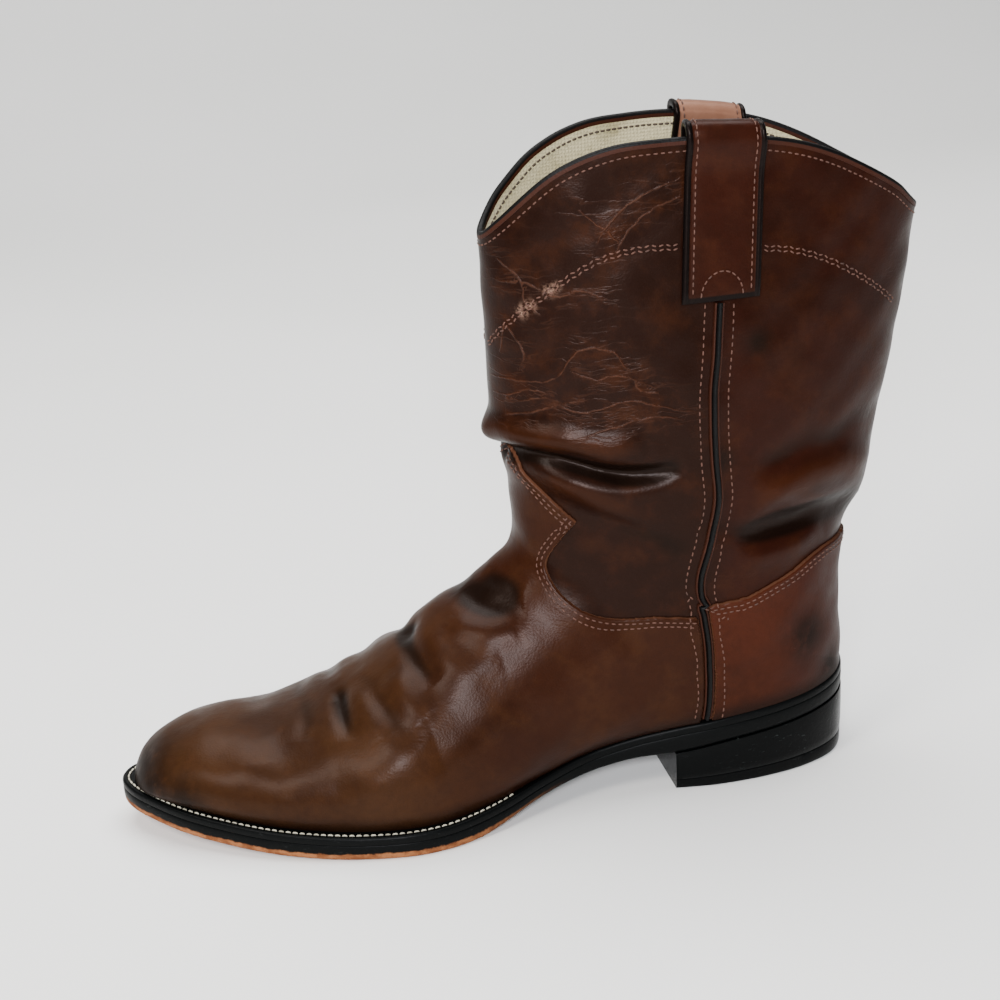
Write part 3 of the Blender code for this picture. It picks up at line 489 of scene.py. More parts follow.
# Side-view points past the toe and past the heel that close the outlines of vamp and counter.
VAMP_CLOSING = (1.1 * SOLE_LENGTH, 0.60 * SHAFT_HEIGHT), (1.1 * SOLE_LENGTH, -0.02)
COUNTER_CLOSING = ((-0.10 * SOLE_LENGTH, -0.02),)


def on_side(x, z, side):
    """Place and across of the skin's points that are seen at x, z from the side."""
    x, z = np.atleast_1d(x).astype(float), np.atleast_1d(z).astype(float)
    rows, turns = np.linspace(7, len(SECTIONS) - 1, 320), np.linspace(0, 1, 130)
    grid_row, grid_turn = (part.ravel() for part in np.meshgrid(rows, turns, indexing="ij"))
    seen = skin(grid_row, side * grid_turn)[:, [0, 2]]
    gap = np.hypot(seen[None, :, 0] - x[:, None], seen[None, :, 1] - z[:, None])
    spot = gap.argmin(1)
    row, turn = grid_row[spot], grid_turn[spot]
    row_step, turn_step = rows[1] - rows[0], turns[1] - turns[0]
    offsets = np.linspace(-1.2, 1.2, 13)
    for _ in range(3):
        row_try = row[:, None, None] + offsets[None, :, None] * row_step
        turn_try = np.clip(turn[:, None, None] + offsets[None, None, :] * turn_step, 0, 1)
        row_try, turn_try = np.broadcast_arrays(row_try, turn_try)
        seen = skin(row_try, side * turn_try)
        gap = np.hypot(seen[..., 0] - x[:, None, None], seen[..., 2] - z[:, None, None])
        spot = gap.reshape(len(x), -1).argmin(1)
        pick = np.arange(len(x))
        row = row_try.reshape(len(x), -1)[pick, spot]
        turn = turn_try.reshape(len(x), -1)[pick, spot]
        row_step, turn_step = row_step / 5, turn_step / 5
    miss = gap.reshape(len(x), -1)[pick, spot]
    return row, side * turn, miss


def smoothed(values):
    """The values with odd ones replaced by the middle of five, then evened out."""
    padded = np.pad(values, 2, mode="edge")
    values = np.median(np.stack([padded[k:k + len(values)] for k in range(5)]), axis=0)
    for _ in range(4):
        values = np.concatenate([values[:1], (values[:-2] + 2 * values[1:-1] + values[2:]) / 4,
                                 values[-1:]])
    return values


def side_path(x, z, side):
    """Places on the skin of a side-view line; ends that lie off the boot are dropped."""
    row, across, miss = on_side(x, z, side)
    good = np.nonzero(miss < SIDE_MISS)[0]
    way = np.arange(good[0], good[-1] + 1)
    return tuple(smoothed(np.interp(way, good, values[good])) for values in (row, across))


def collar_edge(x):
    """Height of the leather's upper edge, which the binding covers, at x."""
    return SHAFT_HEIGHT * through(COLLAR, x / SOLE_LENGTH) - RIM_DROP


def seam_x(z, side):
    """Side-view x of the side seam at height z, which leans differently on the two sides."""
    return SOLE_LENGTH * through(SEAM, z / SHAFT_HEIGHT, 1 if side > 0 else 2)


def side_line(table, count):
    """Side-view line through a table of shares, as x and z in metres."""
    return dense(table, count)[0] * np.array([SOLE_LENGTH, SHAFT_HEIGHT])


def joined_line(start, table, count):
    """Side-view line straight from start to a table's first point, then along the table."""
    line = side_line(table, count)
    return np.vstack([np.linspace(start, line[0], 15)[:-1], line])


def vamp_line(side):
    """Side-view edge of the vamp from under the welt, up the seam and forward to the ridge."""
    clear = PIPING_WIDTH / 2 + SEAM_ALLOWANCE
    low = np.linspace(0.010, VAMP_SIDE[0][1] * SHAFT_HEIGHT - 0.002, 60)
    seam = np.stack([seam_x(low, side) + clear, low], -1)
    return seam, joined_line(seam[-1], VAMP_SIDE, 120), side_line(VAMP_TONGUE, 80)


def counter_line(side):
    """Side-view edge of the counter from under the welt, up the seam and back to the heel."""
    clear = PIPING_WIDTH / 2 + SEAM_ALLOWANCE
    low = np.linspace(0.010, COUNTER_LINE[0][1] * SHAFT_HEIGHT - 0.002, 60)
    seam = np.stack([seam_x(low, side) - clear, low], -1)
    return seam, joined_line(seam[-1], COUNTER_LINE, 120)


def inside(x, z, outline):
    """True where x, z lies inside a closed side-view outline."""
    within = np.zeros(len(x), bool)
    for (x0, z0), (x1, z1) in zip(outline, np.roll(outline, -1, axis=0)):
        crosses = (z0 > z) != (z1 > z)
        if z1 != z0:
            at = x0 + (z - z0) * (x1 - x0) / (z1 - z0)
            within ^= crosses & (x < at)
    return within


def rim_distance(points, across, stretches, closing):
    """Distance over the leather from an overlay's edge, above 0 on the overlay, up to RIM_REACH."""
    edge_points = []
    within = np.zeros(len(points), bool)
    for side in (1.0, -1.0):
        outline = np.vstack([*stretches(side), closing])
        mine = (across >= 0) == (side > 0)
        within[mine] = inside(points[mine, 0], points[mine, 2], outline)
        for stretch in stretches(side):
            row, turn, miss = on_side(stretch[:, 0], stretch[:, 1], side)
            edge_points.append(skin(row, turn)[miss < SIDE_MISS])
    line = np.vstack(edge_points)
    value = np.full(len(points), RIM_REACH)
    near = np.all((points > line.min(0) - RIM_REACH) & (points < line.max(0) + RIM_REACH), axis=1)
    value[near] = np.minimum(nearest(points[near], line)[0], RIM_REACH)
    return np.where(within, value, -value)


def even_places(first, last, step):
    """Row numbers from first to last whose sections lie about step apart."""
    fine = np.linspace(first, last, 1500)
    gaps = [np.linalg.norm(np.diff(skin(fine, across), axis=0), axis=-1)
            for across in (0.0, 0.5, 1.0, -0.5)]
    way = np.concatenate([[0], np.cumsum(np.mean(gaps, axis=0))])
    return np.interp(np.linspace(0, way[-1], int(way[-1] / step) + 1), way, fine)


# Surfaces

def leather_grid(first, last, step, girth):
    """Triangles over the skin between two rows, with each corner's place and across.

    girth is the length round the boot that the columns share, so that they lie about step apart.
    """
    places = even_places(first, last, step)
    half = int(girth / step / 2)
    across = np.linspace(-1, 1, 2 * half + 1)
    grid = np.meshgrid(places, across, indexing="ij")
    number = np.arange(grid[0].size).reshape(grid[0].shape)
    a, b = number[:-1, :-1].ravel(), number[1:, :-1].ravel()
    c, d = number[1:, 1:].ravel(), number[:-1, 1:].ravel()
    faces = np.vstack([np.stack([a, b, c], -1), np.stack([a, c, d], -1)])
    return faces, {"place": grid[0].ravel(), "across": grid[1].ravel()}


def split_level(faces, fields, name, level):
    """Triangles cut along field name == level, at the share t = value / (value - other)."""
    value = fields[name] - level
    corner = (value >= 0)[faces]
    count = corner.sum(1)
    crossed = (count == 1) | (count == 2)
    part = faces[crossed]
    lone = (corner[crossed] == (count[crossed] == 1)[:, None]).argmax(1)
    pick = np.arange(len(part))
    a, b, c = (part[pick, (lone + k) % 3] for k in range(3))
    pairs = np.sort(np.vstack([np.stack([a, b], -1), np.stack([a, c], -1)]), axis=1)
    cut, index = np.unique(pairs, axis=0, return_inverse=True)
    index = index.reshape(-1) + len(value)
    share = value[cut[:, 0]] / (value[cut[:, 0]] - value[cut[:, 1]])
    made = {}
    for key, field in fields.items():
        new = field[cut[:, 0]] + (field[cut[:, 1]] - field[cut[:, 0]]) * share
        made[key] = np.concatenate([field, np.full(len(cut), level) if key == name else new])
    p, q = index[:len(part)], index[len(part):]
    new_faces = [np.stack(three, -1) for three in ((a, p, q), (p, b, c), (p, c, q))]
    return np.vstack([faces[~crossed], *new_faces]), made


def kept(faces, fields, wanted):
    """Only the wanted triangles, and only the corners that they use."""
    faces = faces[wanted]
    used, index = np.unique(faces, return_inverse=True)
    return index.reshape(faces.shape), {key: field[used] for key, field in fields.items()}


def welded(points, faces, fields):
    """Doubled corners joined and empty triangles dropped."""
    key = np.round(points / 0.00003).astype(np.int64)
    first, index = np.unique(key, axis=0, return_index=True, return_inverse=True)[1:]
    faces = index.reshape(-1)[faces]
    full = ((faces[:, 0] != faces[:, 1]) & (faces[:, 1] != faces[:, 2])
            & (faces[:, 2] != faces[:, 0]))
    return points[first], faces[full], {key: field[first] for key, field in fields.items()}


def make_mesh(name, points, faces, fields=None, sharp=38):
    """Object at the origin from points measured from the heel's back, with named float fields."""
    mesh = bpy.data.meshes.new(name)
    moved = np.asarray(points, float) - np.array([HEEL_CENTRE, 0, 0])
    mesh.from_pydata(moved.tolist(), [], [list(map(int, face)) for face in faces])
    for key, field in (fields or {}).items():
        layer = mesh.attributes.new(key, "FLOAT", "POINT")
        layer.data.foreach_set("value", np.asarray(field, np.float32))
    mesh.shade_smooth()
    mesh.set_sharp_from_angle(angle=math.radians(sharp))
    thing = bpy.data.objects.new(name, mesh)
    bpy.context.scene.collection.objects.link(thing)
    return thing


def outward_faces(points, faces, normal):
    """Triangles turned to agree with the normals at their first corners."""
    across = np.cross(points[faces[:, 1]] - points[faces[:, 0]],
                      points[faces[:, 2]] - points[faces[:, 0]])
    if (across * normal[faces[:, 0]]).sum() < 0:
        faces = faces[:, ::-1]
    return faces


def spots(points, table):
    """Nearness to the spots of a table: 1 in the middle of one, exp(-(d / radius)^2) about it."""
    near = np.zeros(len(points))
    for row, turn, radius in table:
        centre = skin(np.array([row]), np.array([turn]))[0]
        gap = np.linalg.norm(points - centre, axis=-1)
        near = np.maximum(near, np.exp(-(gap / (0.001 * radius)) ** 2))
    return near


def looks_fields(points, normal):
    """Fields for the leather's colour: wrinkle distance and nearness, scuffs and low edge."""
    vein = np.full(len(points), VEIN_REACH)
    near, creased = np.zeros((2, len(points)))
    for line in VEINS:
        for side in (1.0, -1.0):
            path, way = dense(line, 140)
            path_points = skin(path[:, 0], side * path[:, 1])
            low, high = path_points.min(0) - VEIN_REACH, path_points.max(0) + VEIN_REACH
            some = np.nonzero(np.all((points > low) & (points < high), axis=1))[0]
            if not len(some):
                continue
            gap, which = nearest(points[some], path_points)
            ahead = np.gradient(path_points, axis=0)
            ahead /= np.linalg.norm(ahead, axis=-1, keepdims=True)
            sideways = np.cross(normal[some], ahead[which])
            signed = ((points[some] - path_points[which]) * sideways).sum(-1)
            fade = np.exp(-(gap / VEIN_SPREAD) ** 2) * np.sin(math.pi * way[which]) ** 0.4
            creased[some] = np.maximum(creased[some], np.exp(-(gap / CREASED_SPREAD) ** 2))
            closer = fade > near[some]
            vein[some[closer]] = signed[closer]
            near[some[closer]] = fade[closer]
    scuff, rubbed = spots(points, SCUFFS), spots(points, RUBBED)
    return {"vein": vein, "vein_near": near, "creased": creased, "scuff": scuff, "rubbed": rubbed,
            "over_welt": points[:, 2] - welt_top(points[:, 0])}


def make_shaft(step):
    """Leather of the shaft: the skin above the vamp and counter, cut off at the collar."""
    faces, fields = leather_grid(SHAFT_FIRST_ROW, len(SECTIONS) - 1, step, girth=0.31)
    points = skin(fields["place"], fields["across"])
    fields["to_collar"] = collar_edge(points[:, 0]) - points[:, 2]
    fields["vamp_rim"] = rim_distance(points, fields["across"], vamp_line, VAMP_CLOSING)
    fields["counter_rim"] = rim_distance(points, fields["across"], counter_line, COUNTER_CLOSING)
    faces, fields = split_level(faces, fields, "to_collar", 0.0)
    shown = ((fields["to_collar"] >= -1e-9) & (fields["vamp_rim"] < UNDERLAP)
             & (fields["counter_rim"] < UNDERLAP))
    faces, fields = kept(faces, fields, shown[faces].all(1))
    points, normal, fold = leather(fields["place"], fields["across"])
    more = looks_fields(skin(fields["place"], fields["across"]), normal)
    fields.update(more, fold=fold, edge=np.zeros(len(points)), nx=normal[:, 0],
                  ny=normal[:, 1], nz=normal[:, 2])
    points, faces, fields = welded(points, faces, fields)
    normal = np.stack([fields.pop(key) for key in ("nx", "ny", "nz")], -1)
    return make_mesh("shaft_leather", points, outward_faces(points, faces, normal), fields, 60)


def make_overlay(name, rows, stretches, closing, step):
    """Overlay of the skin: lift = gap + thickness * round(rim), with a wall down to the upper."""
    faces, fields = leather_grid(*rows, step, girth=0.28)
    points = skin(fields["place"], fields["across"])
    fields["rim"] = rim_distance(points, fields["across"], stretches, closing)
    faces, fields = kept(faces, fields, (fields["rim"][faces] > -UNDERLAP).any(1))
    for level in RIM_STEPS:
        faces, fields = split_level(faces, fields, "rim", level)
    faces, fields = kept(faces, fields, (fields["rim"][faces] >= 0).all(1))
    rim = fields["rim"]
    at_rim = np.nonzero(rim == 0)[0]
    lift = FIT_GAP + OVERLAY * np.interp(rim, RIM_STEPS, RIM_HEIGHTS)
    points, normal, fold = leather(fields["place"], fields["across"], lift)
    base = skin(fields["place"], fields["across"])
    fields.update(looks_fields(base, normal), fold=fold,
                  edge=np.interp(rim, RIM_STEPS, RIM_PAINT))
    faces = outward_faces(points, faces, normal)
    ends = np.vstack([faces[:, [0, 1]], faces[:, [1, 2]], faces[:, [2, 0]]])
    ends = ends[(rim[ends] == 0).all(1)]
    ends = ends[ends[:, 0] != ends[:, 1]]
    foot_points = leather(fields["place"][at_rim], fields["across"][at_rim], -0.0001)[0]
    foot_number = np.full(len(points), -1)
    foot_number[at_rim] = len(points) + np.arange(len(at_rim))
    here, there = ends[:, 0], ends[:, 1]
    wall = np.vstack([np.stack([there, here, foot_number[here]], -1),
                      np.stack([there, foot_number[here], foot_number[there]], -1)])
    fields = {key: np.concatenate([field, field[at_rim]]) for key, field in fields.items()}
    fields["edge"][len(points):] = WALL_PAINT
    points = np.vstack([points, foot_points])
    points, faces, fields = welded(points, np.vstack([faces, wall]), fields)
    return make_mesh(name, points, faces, fields, 50)


def make_lining(step):
    """Lining: the skin moved in by the wall's thickness, from the toe to the collar's edge."""
    faces, fields = leather_grid(LINING_FIRST_ROW, len(SECTIONS) - 1, step, girth=0.29)
    points = skin(fields["place"], fields["across"])
    fields["to_collar"] = collar_edge(points[:, 0]) - points[:, 2]
    faces, fields = split_level(faces, fields, "to_collar", 0.0)
    faces, fields = kept(faces, fields, (fields["to_collar"][faces] >= -1e-9).all(1))
    points, normal, _ = leather(fields["place"], fields["across"], -WALL)
    fields.update(nx=normal[:, 0], ny=normal[:, 1], nz=normal[:, 2])
    points, faces, fields = welded(points, faces, fields)
    normal = np.stack([fields.pop(key) for key in ("nx", "ny", "nz")], -1)
    return make_mesh("shaft_lining", points, outward_faces(points, faces, -normal), fields, 60)


def tube_faces(rings, size, closed_ring=True, joined=False):
    """Quads between successive rings of size points each."""
    last = size if closed_ring else size - 1
    i, k = np.meshgrid(np.arange(rings if joined else rings - 1), np.arange(last), indexing="ij")
    step, turn = (i + 1) % rings, (k + 1) % size
    quads = np.stack([i * size + k, step * size + k, step * size + turn, i * size + turn], -1)
    return quads.reshape(-1, 4)


def solid(name, rings, joined=False, fields=None, sharp=38, capped=True):
    """Closed solid from equal rings of points, its faces turned outwards."""
    rings = np.asarray(rings, float)
    count, size = rings.shape[:2]
    faces = [list(quad) for quad in tube_faces(count, size, True, joined)]
    if not joined and capped:
        faces.append(list(range(size)))
        faces.append([(count - 1) * size + k for k in reversed(range(size))])
    points = rings.reshape(-1, 3)
    spread = sum(np.dot(points[face[0]], np.cross(points[face[a]], points[face[a + 1]]))
                 for face in faces for a in range(1, len(face) - 1))
    if spread < 0:
        faces = [face[::-1] for face in faces]
    return make_mesh(name, points, faces, fields, sharp)


def frames(points, normal):
    """Unit direction along a line and sideways on the surface."""
    along = np.gradient(points, axis=0)
    along /= np.maximum(np.linalg.norm(along, axis=-1, keepdims=True), 1e-12)
    sideways = np.cross(along, normal)
    sideways /= np.maximum(np.linalg.norm(sideways, axis=-1, keepdims=True), 1e-12)
    return along, sideways


def seam_path(side, count):
    """The side seam from the welt to the pull strap, as place and across."""
    low = float(welt_top(seam_x(SEAT_HEIGHT, side))) + PIPING_START
    z = np.linspace(low, STRAP_BOTTOM - PIPING_END_GAP, count)
    return side_path(seam_x(z, side), z, side)


# Half of the piping's cross-section. Columns: share of the half width, height in mm, 1 on the cord.
PIPING_SHAPE = (
    (1.00, -0.10, 0), (1.03, 0.70, 0), (0.93, 1.18, 0), (0.76, 1.38, 0), (0.62, 1.24, 0),
    (0.56, 0.98, 1), (0.52, 1.42, 1), (0.38, 1.98, 1), (0.20, 2.36, 1), (0.00, 2.50, 1),
)


def make_piping(name, side):
    """Cord along the seam between the folded edges of the front and back leather."""
    row, across = seam_path(side, 150)
    points, normal, _ = leather(row, across)
    sideways = frames(points, normal)[1]
    half = np.array(PIPING_SHAPE)
    loop = np.vstack([half, half[-2::-1] * np.array([-1, 1, 1])])
    width, tall = loop[:, 0] * PIPING_WIDTH / 2, loop[:, 1] * 0.001
    rings = (points[:, None] + width[None, :, None] * sideways[:, None]
             + tall[None, :, None] * normal[:, None])
    return solid(name, rings, fields={"edge": np.tile(loop[:, 2], len(points))}, sharp=60)


def strap_column(share, side):
    """Near and far face of the strap's loop at one place across its width."""
    column = 1 if side > 0 else 2
    z_axis = np.array([row[0] for row in STRAP_LINE]) * SHAFT_HEIGHT
    x_axis = np.array([row[column] for row in STRAP_LINE]) * SOLE_LENGTH
    x_axis = x_axis + (share - 0.5) * STRAP_WIDTH
    rim = float(collar_edge(np.interp(SHAFT_HEIGHT, z_axis, x_axis)))
    bend = rim - STRAP_BEND_DROP
    legs_out = np.linspace(STRAP_BOTTOM, bend, 5)
    legs_in = np.array([bend, 0.5 * (bend + STRAP_INNER_BOTTOM), STRAP_INNER_BOTTOM])
    z = np.array([*legs_out, rim, *legs_in])
    row, across, _ = on_side(np.interp(z, z_axis, x_axis), z, side)
    points, normals = skin(row, across), slopes(row, across)[2]
    last = len(legs_out)
    near = [points[k] + normals[k] * STRAP_STAND for k in range(last)]
    far = [points[k] + normals[k] * (STRAP_STAND + STRAP_THICKNESS) for k in range(last)]
    outward = normals[last] * np.array([1, 1, 0])
    outward = outward / np.linalg.norm(outward)
    core = points[last] - outward * WALL / 2
    rise = (STRAP_RISE if side > 0 else STRAP_RISE_INNER) + RIM_DROP
    for angle in np.linspace(0, math.pi, 9):
        level = math.sin(angle) ** ARCH_SQUARENESS
        bow = math.copysign(abs(math.cos(angle)) ** ARCH_SQUARENESS, math.cos(angle))
        near.append(core + outward * STRAP_ARCH_REACH * bow
                    + np.array([0, 0, (rise - STRAP_THICKNESS) * level]))
        far.append(core + outward * (STRAP_ARCH_REACH + STRAP_THICKNESS) * bow
                   + np.array([0, 0, rise * level]))
    for k in range(last + 1, len(points)):
        gap = WALL + STRAP_STAND
        near.append(points[k] - normals[k] * gap)
        far.append(points[k] - normals[k] * (gap + STRAP_THICKNESS))
    return np.array(near), np.array(far)


def strap_faces(side):
    """Near and far face of the strap as grids of points: along the loop, then across it."""
    shares = np.linspace(0, 1, 7)
    columns = [strap_column(share, side) for share in shares]
    near = np.stack([column[0] for column in columns], axis=1)
    far = np.stack([column[1] for column in columns], axis=1)
    count = near.shape[0]
    steps = np.linspace(0, count - 1, 8 * (count - 1) + 1)
    near = catmull(near.reshape(count, -1), steps).reshape(len(steps), len(shares), 3)
    far = catmull(far.reshape(count, -1), steps).reshape(len(steps), len(shares), 3)
    return near, far


def across_strap(grid, share):
    """Points of a strap face at given shares of its width, for every step along it."""
    place = np.asarray(share) * (grid.shape[1] - 1)
    low = np.clip(place.astype(int), 0, grid.shape[1] - 2)
    part = (place - low)[None, :, None]
    return grid[:, low] * (1 - part) + grid[:, low + 1] * part


# Cross-section of a strap's half. Columns: distance from the edge in mm, height share of the
# outer face, height share of the back face.
STRAP_SHAPE = (
    (0.00, 0.50, 0.50), (0.12, 0.86, 0.14), (0.50, 1.08, 0.02), (1.15, 1.18, 0.00),
    (1.80, 1.10, 0.00), (2.20, 0.92, 0.00), (2.50, 0.84, 0.00), (3.20, 0.92, 0.00),
    (5.00, 0.99, 0.00), (8.00, 1.00, 0.00), (11.5, 0.96, 0.00), (15.0, 0.92, 0.00),
)


def make_strap(name, side):
    """Leather loop with corded edges: near + (far - near) * height, rounded at its ends."""
    near, far = strap_faces(side)
    shape = np.array(STRAP_SHAPE)
    shape[:, 0] *= 0.001
    out = [(d / STRAP_WIDTH, h) for d, h, b in shape]
    out += [(1 - s, h) for s, h in out[-2::-1]]
    back = [(1 - d / STRAP_WIDTH, b) for d, h, b in shape[1:]]
    back += [(1 - s, b) for s, b in back[-2::-1]]
    loop = np.array(out + back)
    low, high = across_strap(near, loop[:, 0]), across_strap(far, loop[:, 0])
    steps = len(low)
    end = np.minimum(np.arange(steps), np.arange(steps)[::-1])
    thin = 1 - 0.5 * np.exp(-end / 1.2)
    height = 0.5 + (loop[None, :, 1] - 0.5) * thin[:, None]
    rings = low + (high - low) * height[..., None]
    from_edge = np.minimum(loop[:, 0], 1 - loop[:, 0]) * STRAP_WIDTH
    # Black from the edge to 2.2-2.5 mm in: partly the dyed cord, partly painted shade down into the
    # groove beside it.
    edge = np.tile(np.interp(from_edge, (0.0022, 0.0025), (1, 0)), (steps, 1))
    edge[:2], edge[-2:] = 1, 1
    fields = {"edge": edge.ravel(), "fold": np.zeros(edge.size),
              "scuff": np.zeros(edge.size), "over_welt": np.full(edge.size, 0.1)}
    return solid(name, rings, fields=fields, sharp=50)


def collar_rows(across):
    """Row number where each line round the shaft meets the collar's edge."""
    rows = np.linspace(20, len(SECTIONS) - 1, 700)
    grid = np.meshgrid(rows, across, indexing="ij")
    points = skin(*grid)
    over = points[..., 2] - collar_edge(points[..., 0])
    first = np.maximum(np.argmax(over >= 0, axis=0), 1)
    pick = np.arange(len(across))
    above, below = over[first, pick], over[first - 1, pick]
    return rows[first] - above / (above - below) * (rows[1] - rows[0])


# Half of the binding's cross-section. Columns: share of the half width, share of the height, 1
# where the strip is dyed dark.
BINDING_SHAPE = (
    (1.00, -0.12, 0), (1.02, 0.20, 0), (1.02, 0.42, 0), (1.02, 0.48, 1), (0.96, 0.68, 1),
    (0.76, 0.86, 1), (0.42, 0.97, 1), (0.00, 1.00, 1),
)


def make_binding():
    """Folded strip over the collar's edge: a rounded profile across the wall."""
    across = np.linspace(-1, 1, 361)[:-1]
    row = collar_rows(across)
    points, normal, _ = leather(row, across)
    line = points - normal * WALL / 2
    along = np.roll(line, -1, axis=0) - np.roll(line, 1, axis=0)
    along /= np.linalg.norm(along, axis=-1, keepdims=True)
    upward = np.cross(normal, along)
    upward *= np.sign(upward[:, 2:3])
    half, tall = 0.78 * BEAD_WIDTH / 2, BEAD_HEIGHT + FIT_GAP
    shape = np.array(BINDING_SHAPE)
    shape = np.vstack([shape, shape[-2::-1] * np.array([-1, 1, 1])])
    width, height = shape[:, 0] * half, shape[:, 1] * tall
    rings = (line[:, None] + width[None, :, None] * normal[:, None]
             + height[None, :, None] * upward[:, None])
    fields = {"edge": np.tile(shape[:, 2], len(line))}
    return solid("collar_edge", rings, joined=True, fields=fields, sharp=60)


def make_plate(name, profile, top, bottom, count, far=None, columns=9):
    """Solid with the sole's plan, from one loop of points at each place along it.

    Rows of profile are an inset and a height share. A loop goes down them on the outer side,
    across, up them on the inner side and back.
    """
    rings = []
    for inset, share in profile:
        x, outer, inner = stations(inset, count, far)
        height = bottom(x) + (top(x) - bottom(x)) * share
        rings.append((np.stack([x, outer, height], -1), np.stack([x, inner, height], -1)))
    outer, inner = (np.stack(half, axis=1) for half in zip(*rings))
    part = np.linspace(0, 1, columns)[1:-1, None]
    last = outer[:, -1:] + (inner[:, -1:] - outer[:, -1:]) * part
    first = inner[:, :1] + (outer[:, :1] - inner[:, :1]) * part
    loops = np.concatenate([outer, last, inner[:, ::-1], first], axis=1)
    share = np.array([share for inset, share in profile])
    up = np.concatenate([share, np.full(len(part), share[-1]), share[::-1],
                         np.full(len(part), share[0])])
    return solid(name, loops, fields={"up": np.tile(up, count)}, sharp=40, capped=far is not None)


def flat(value):
    """A value that is the same at every x, as a function of x."""
    return lambda x: 0 * x + value


def make_welt():
    """Welt: a strip with a rounded, lightly wheeled edge that reaches under the upper."""
    count = 260
    rows = ((flat(0.00012), 0.0), (flat(0.0), 0.20), (flat(0.0), 0.55), (flat(0.00016), 0.80),
            (flat(0.0005), 0.94), (flat(0.0010), 1.0), (flat(0.0019), 0.97), (flat(0.0026), 0.93),
            (flat(0.0033), 0.98), (lambda x: np.maximum(ledge(x), 0.0036), 1.0),
            (lambda x: ledge(x) + WALL, 1.0), (lambda x: ledge(x) + WALL, 0.0))
    loops, up = [], []
    for inset, share in rows:
        def safe(x, inset=inset):
            return np.minimum(inset(x), ledge(x) + WALL)
        x, outer, inner = stations(safe, count)
        height = welt_top(x) - WELT_THICKNESS * (1 - share)
        one = np.stack([x, outer, height], -1)
        other = np.stack([x, inner, height], -1)
        loops.append(np.vstack([one, other[-2:0:-1]]))
        up.append(np.full(len(loops[-1]), share))
    rings = np.stack(loops, axis=1)
    return solid("welt_strip", rings, joined=True,
                 fields={"up": np.stack(up, axis=1).ravel()}, sharp=40)


def make_outsole():
    """Leather sole: a flat-trimmed edge, rounded where it meets the ground."""
    def top(x):
        return welt_top(x) - WELT_THICKNESS - FIT_GAP

    profile = ((flat(0.00022), 1.0), (flat(0.0), 0.94), (flat(0.0), 0.66), (flat(0.00008), 0.40),
               (flat(0.00022), 0.22), (flat(0.0005), 0.09), (flat(0.0010), 0.02),
               (flat(0.0018), 0.0))
    return make_plate("sole_leather", profile, top, underside, 240)


def make_heel():
    """Stacked heel: sides that taper a little, a thin top piece and an upright breast."""
    def top(x):
        return underside(x) - FIT_GAP

    taper = HEEL_TAPER
    profile = ((flat(0.00018), 1.0), (flat(0.0), 0.975), (flat(0.10 * taper), 0.72),
               (flat(0.45 * taper), 0.40), (flat(0.85 * taper), 0.262),
               (flat(0.85 * taper + 0.00022), 0.250), (flat(0.85 * taper), 0.238),
               (flat(1.0 * taper), 0.060), (flat(taper + 0.0003), 0.020),
               (flat(taper + 0.0009), 0.0))
    return make_plate("heel_stack", profile, top, flat(0.0), 90, far=HEEL_DEPTH)


# Stitches

def shifted(row, across, sideways):
    """A line moved sideways over the leather by the step that solves slopes * step = sideways.

    Places where the step comes out too long or short are filled in from their neighbours.
    """
    points = skin(row, across)
    by_row, by_turn, normal = slopes(row, across)
    want = frames(points, normal)[1] * sideways
    aa, ab = (by_row ** 2).sum(-1), (by_row * by_turn).sum(-1)
    bb = (by_turn ** 2).sum(-1)
    wa, wb = (by_row * want).sum(-1), (by_turn * want).sum(-1)
    scale = np.maximum(aa * bb - ab ** 2, 1e-12)
    moved = row + (bb * wa - ab * wb) / scale, across + (aa * wb - ab * wa) / scale
    gap = np.linalg.norm(skin(*moved) - points, axis=-1) / abs(sideways)
    good = np.nonzero(np.abs(gap - 1) < 0.25)[0]
    return tuple(np.interp(np.arange(len(row)), good, values[good]) for values in moved)


def spaced(points, normal, pitch, start=0.5):
    """Middles, directions and normals of stitches, pitch apart along a line."""
    gaps = np.linalg.norm(np.diff(points, axis=0), axis=-1)
    way = np.concatenate([[0], np.cumsum(gaps)])
    count = max(int(way[-1] / pitch), 1)
    at = (np.arange(count) + start) * way[-1] / count
    middle = np.stack([np.interp(at, way, points[:, k]) for k in range(3)], -1)
    ahead = np.stack([np.interp(at, way, np.gradient(points[:, k], way)) for k in range(3)], -1)
    up = np.stack([np.interp(at, way, normal[:, k]) for k in range(3)], -1)
    return middle, unit(ahead), unit(up)


def unit(vectors):
    """The vectors at length 1."""
    return vectors / np.maximum(np.linalg.norm(vectors, axis=-1, keepdims=True), 1e-12)


def stitch_row(points, normal, pitch, length=0.0020, radius=0.00030, slant=0.0):
    """Rings of every stitch on a line: a lens of thread that dips into the leather at its ends."""
    middle, ahead, up = spaced(points, normal, pitch)
    aside = np.cross(up, ahead)
    sway = slant * np.where(np.arange(len(middle)) % 2, 1, -1)[:, None]
    aside_now = unit(aside - sway * ahead)
    ahead_now = unit(ahead + sway * aside)
    part = np.linspace(-1, 1, 6)
    thick = radius * np.sqrt(np.maximum(1 - part ** 4, 0.05))
    drop = radius * (0.35 - 1.25 * part ** 4)
    turn = np.arange(6) * math.pi / 3
    reach = (part * length / 2)[None, :, None, None]
    wide = (thick[:, None] * np.cos(turn))[None, ..., None]
    tall = (thick[:, None] * np.sin(turn) + drop[:, None])[None, ..., None]
    return (middle[:, None, None] + ahead_now[:, None, None] * reach
            + aside_now[:, None, None] * wide + up[:, None, None] * tall)


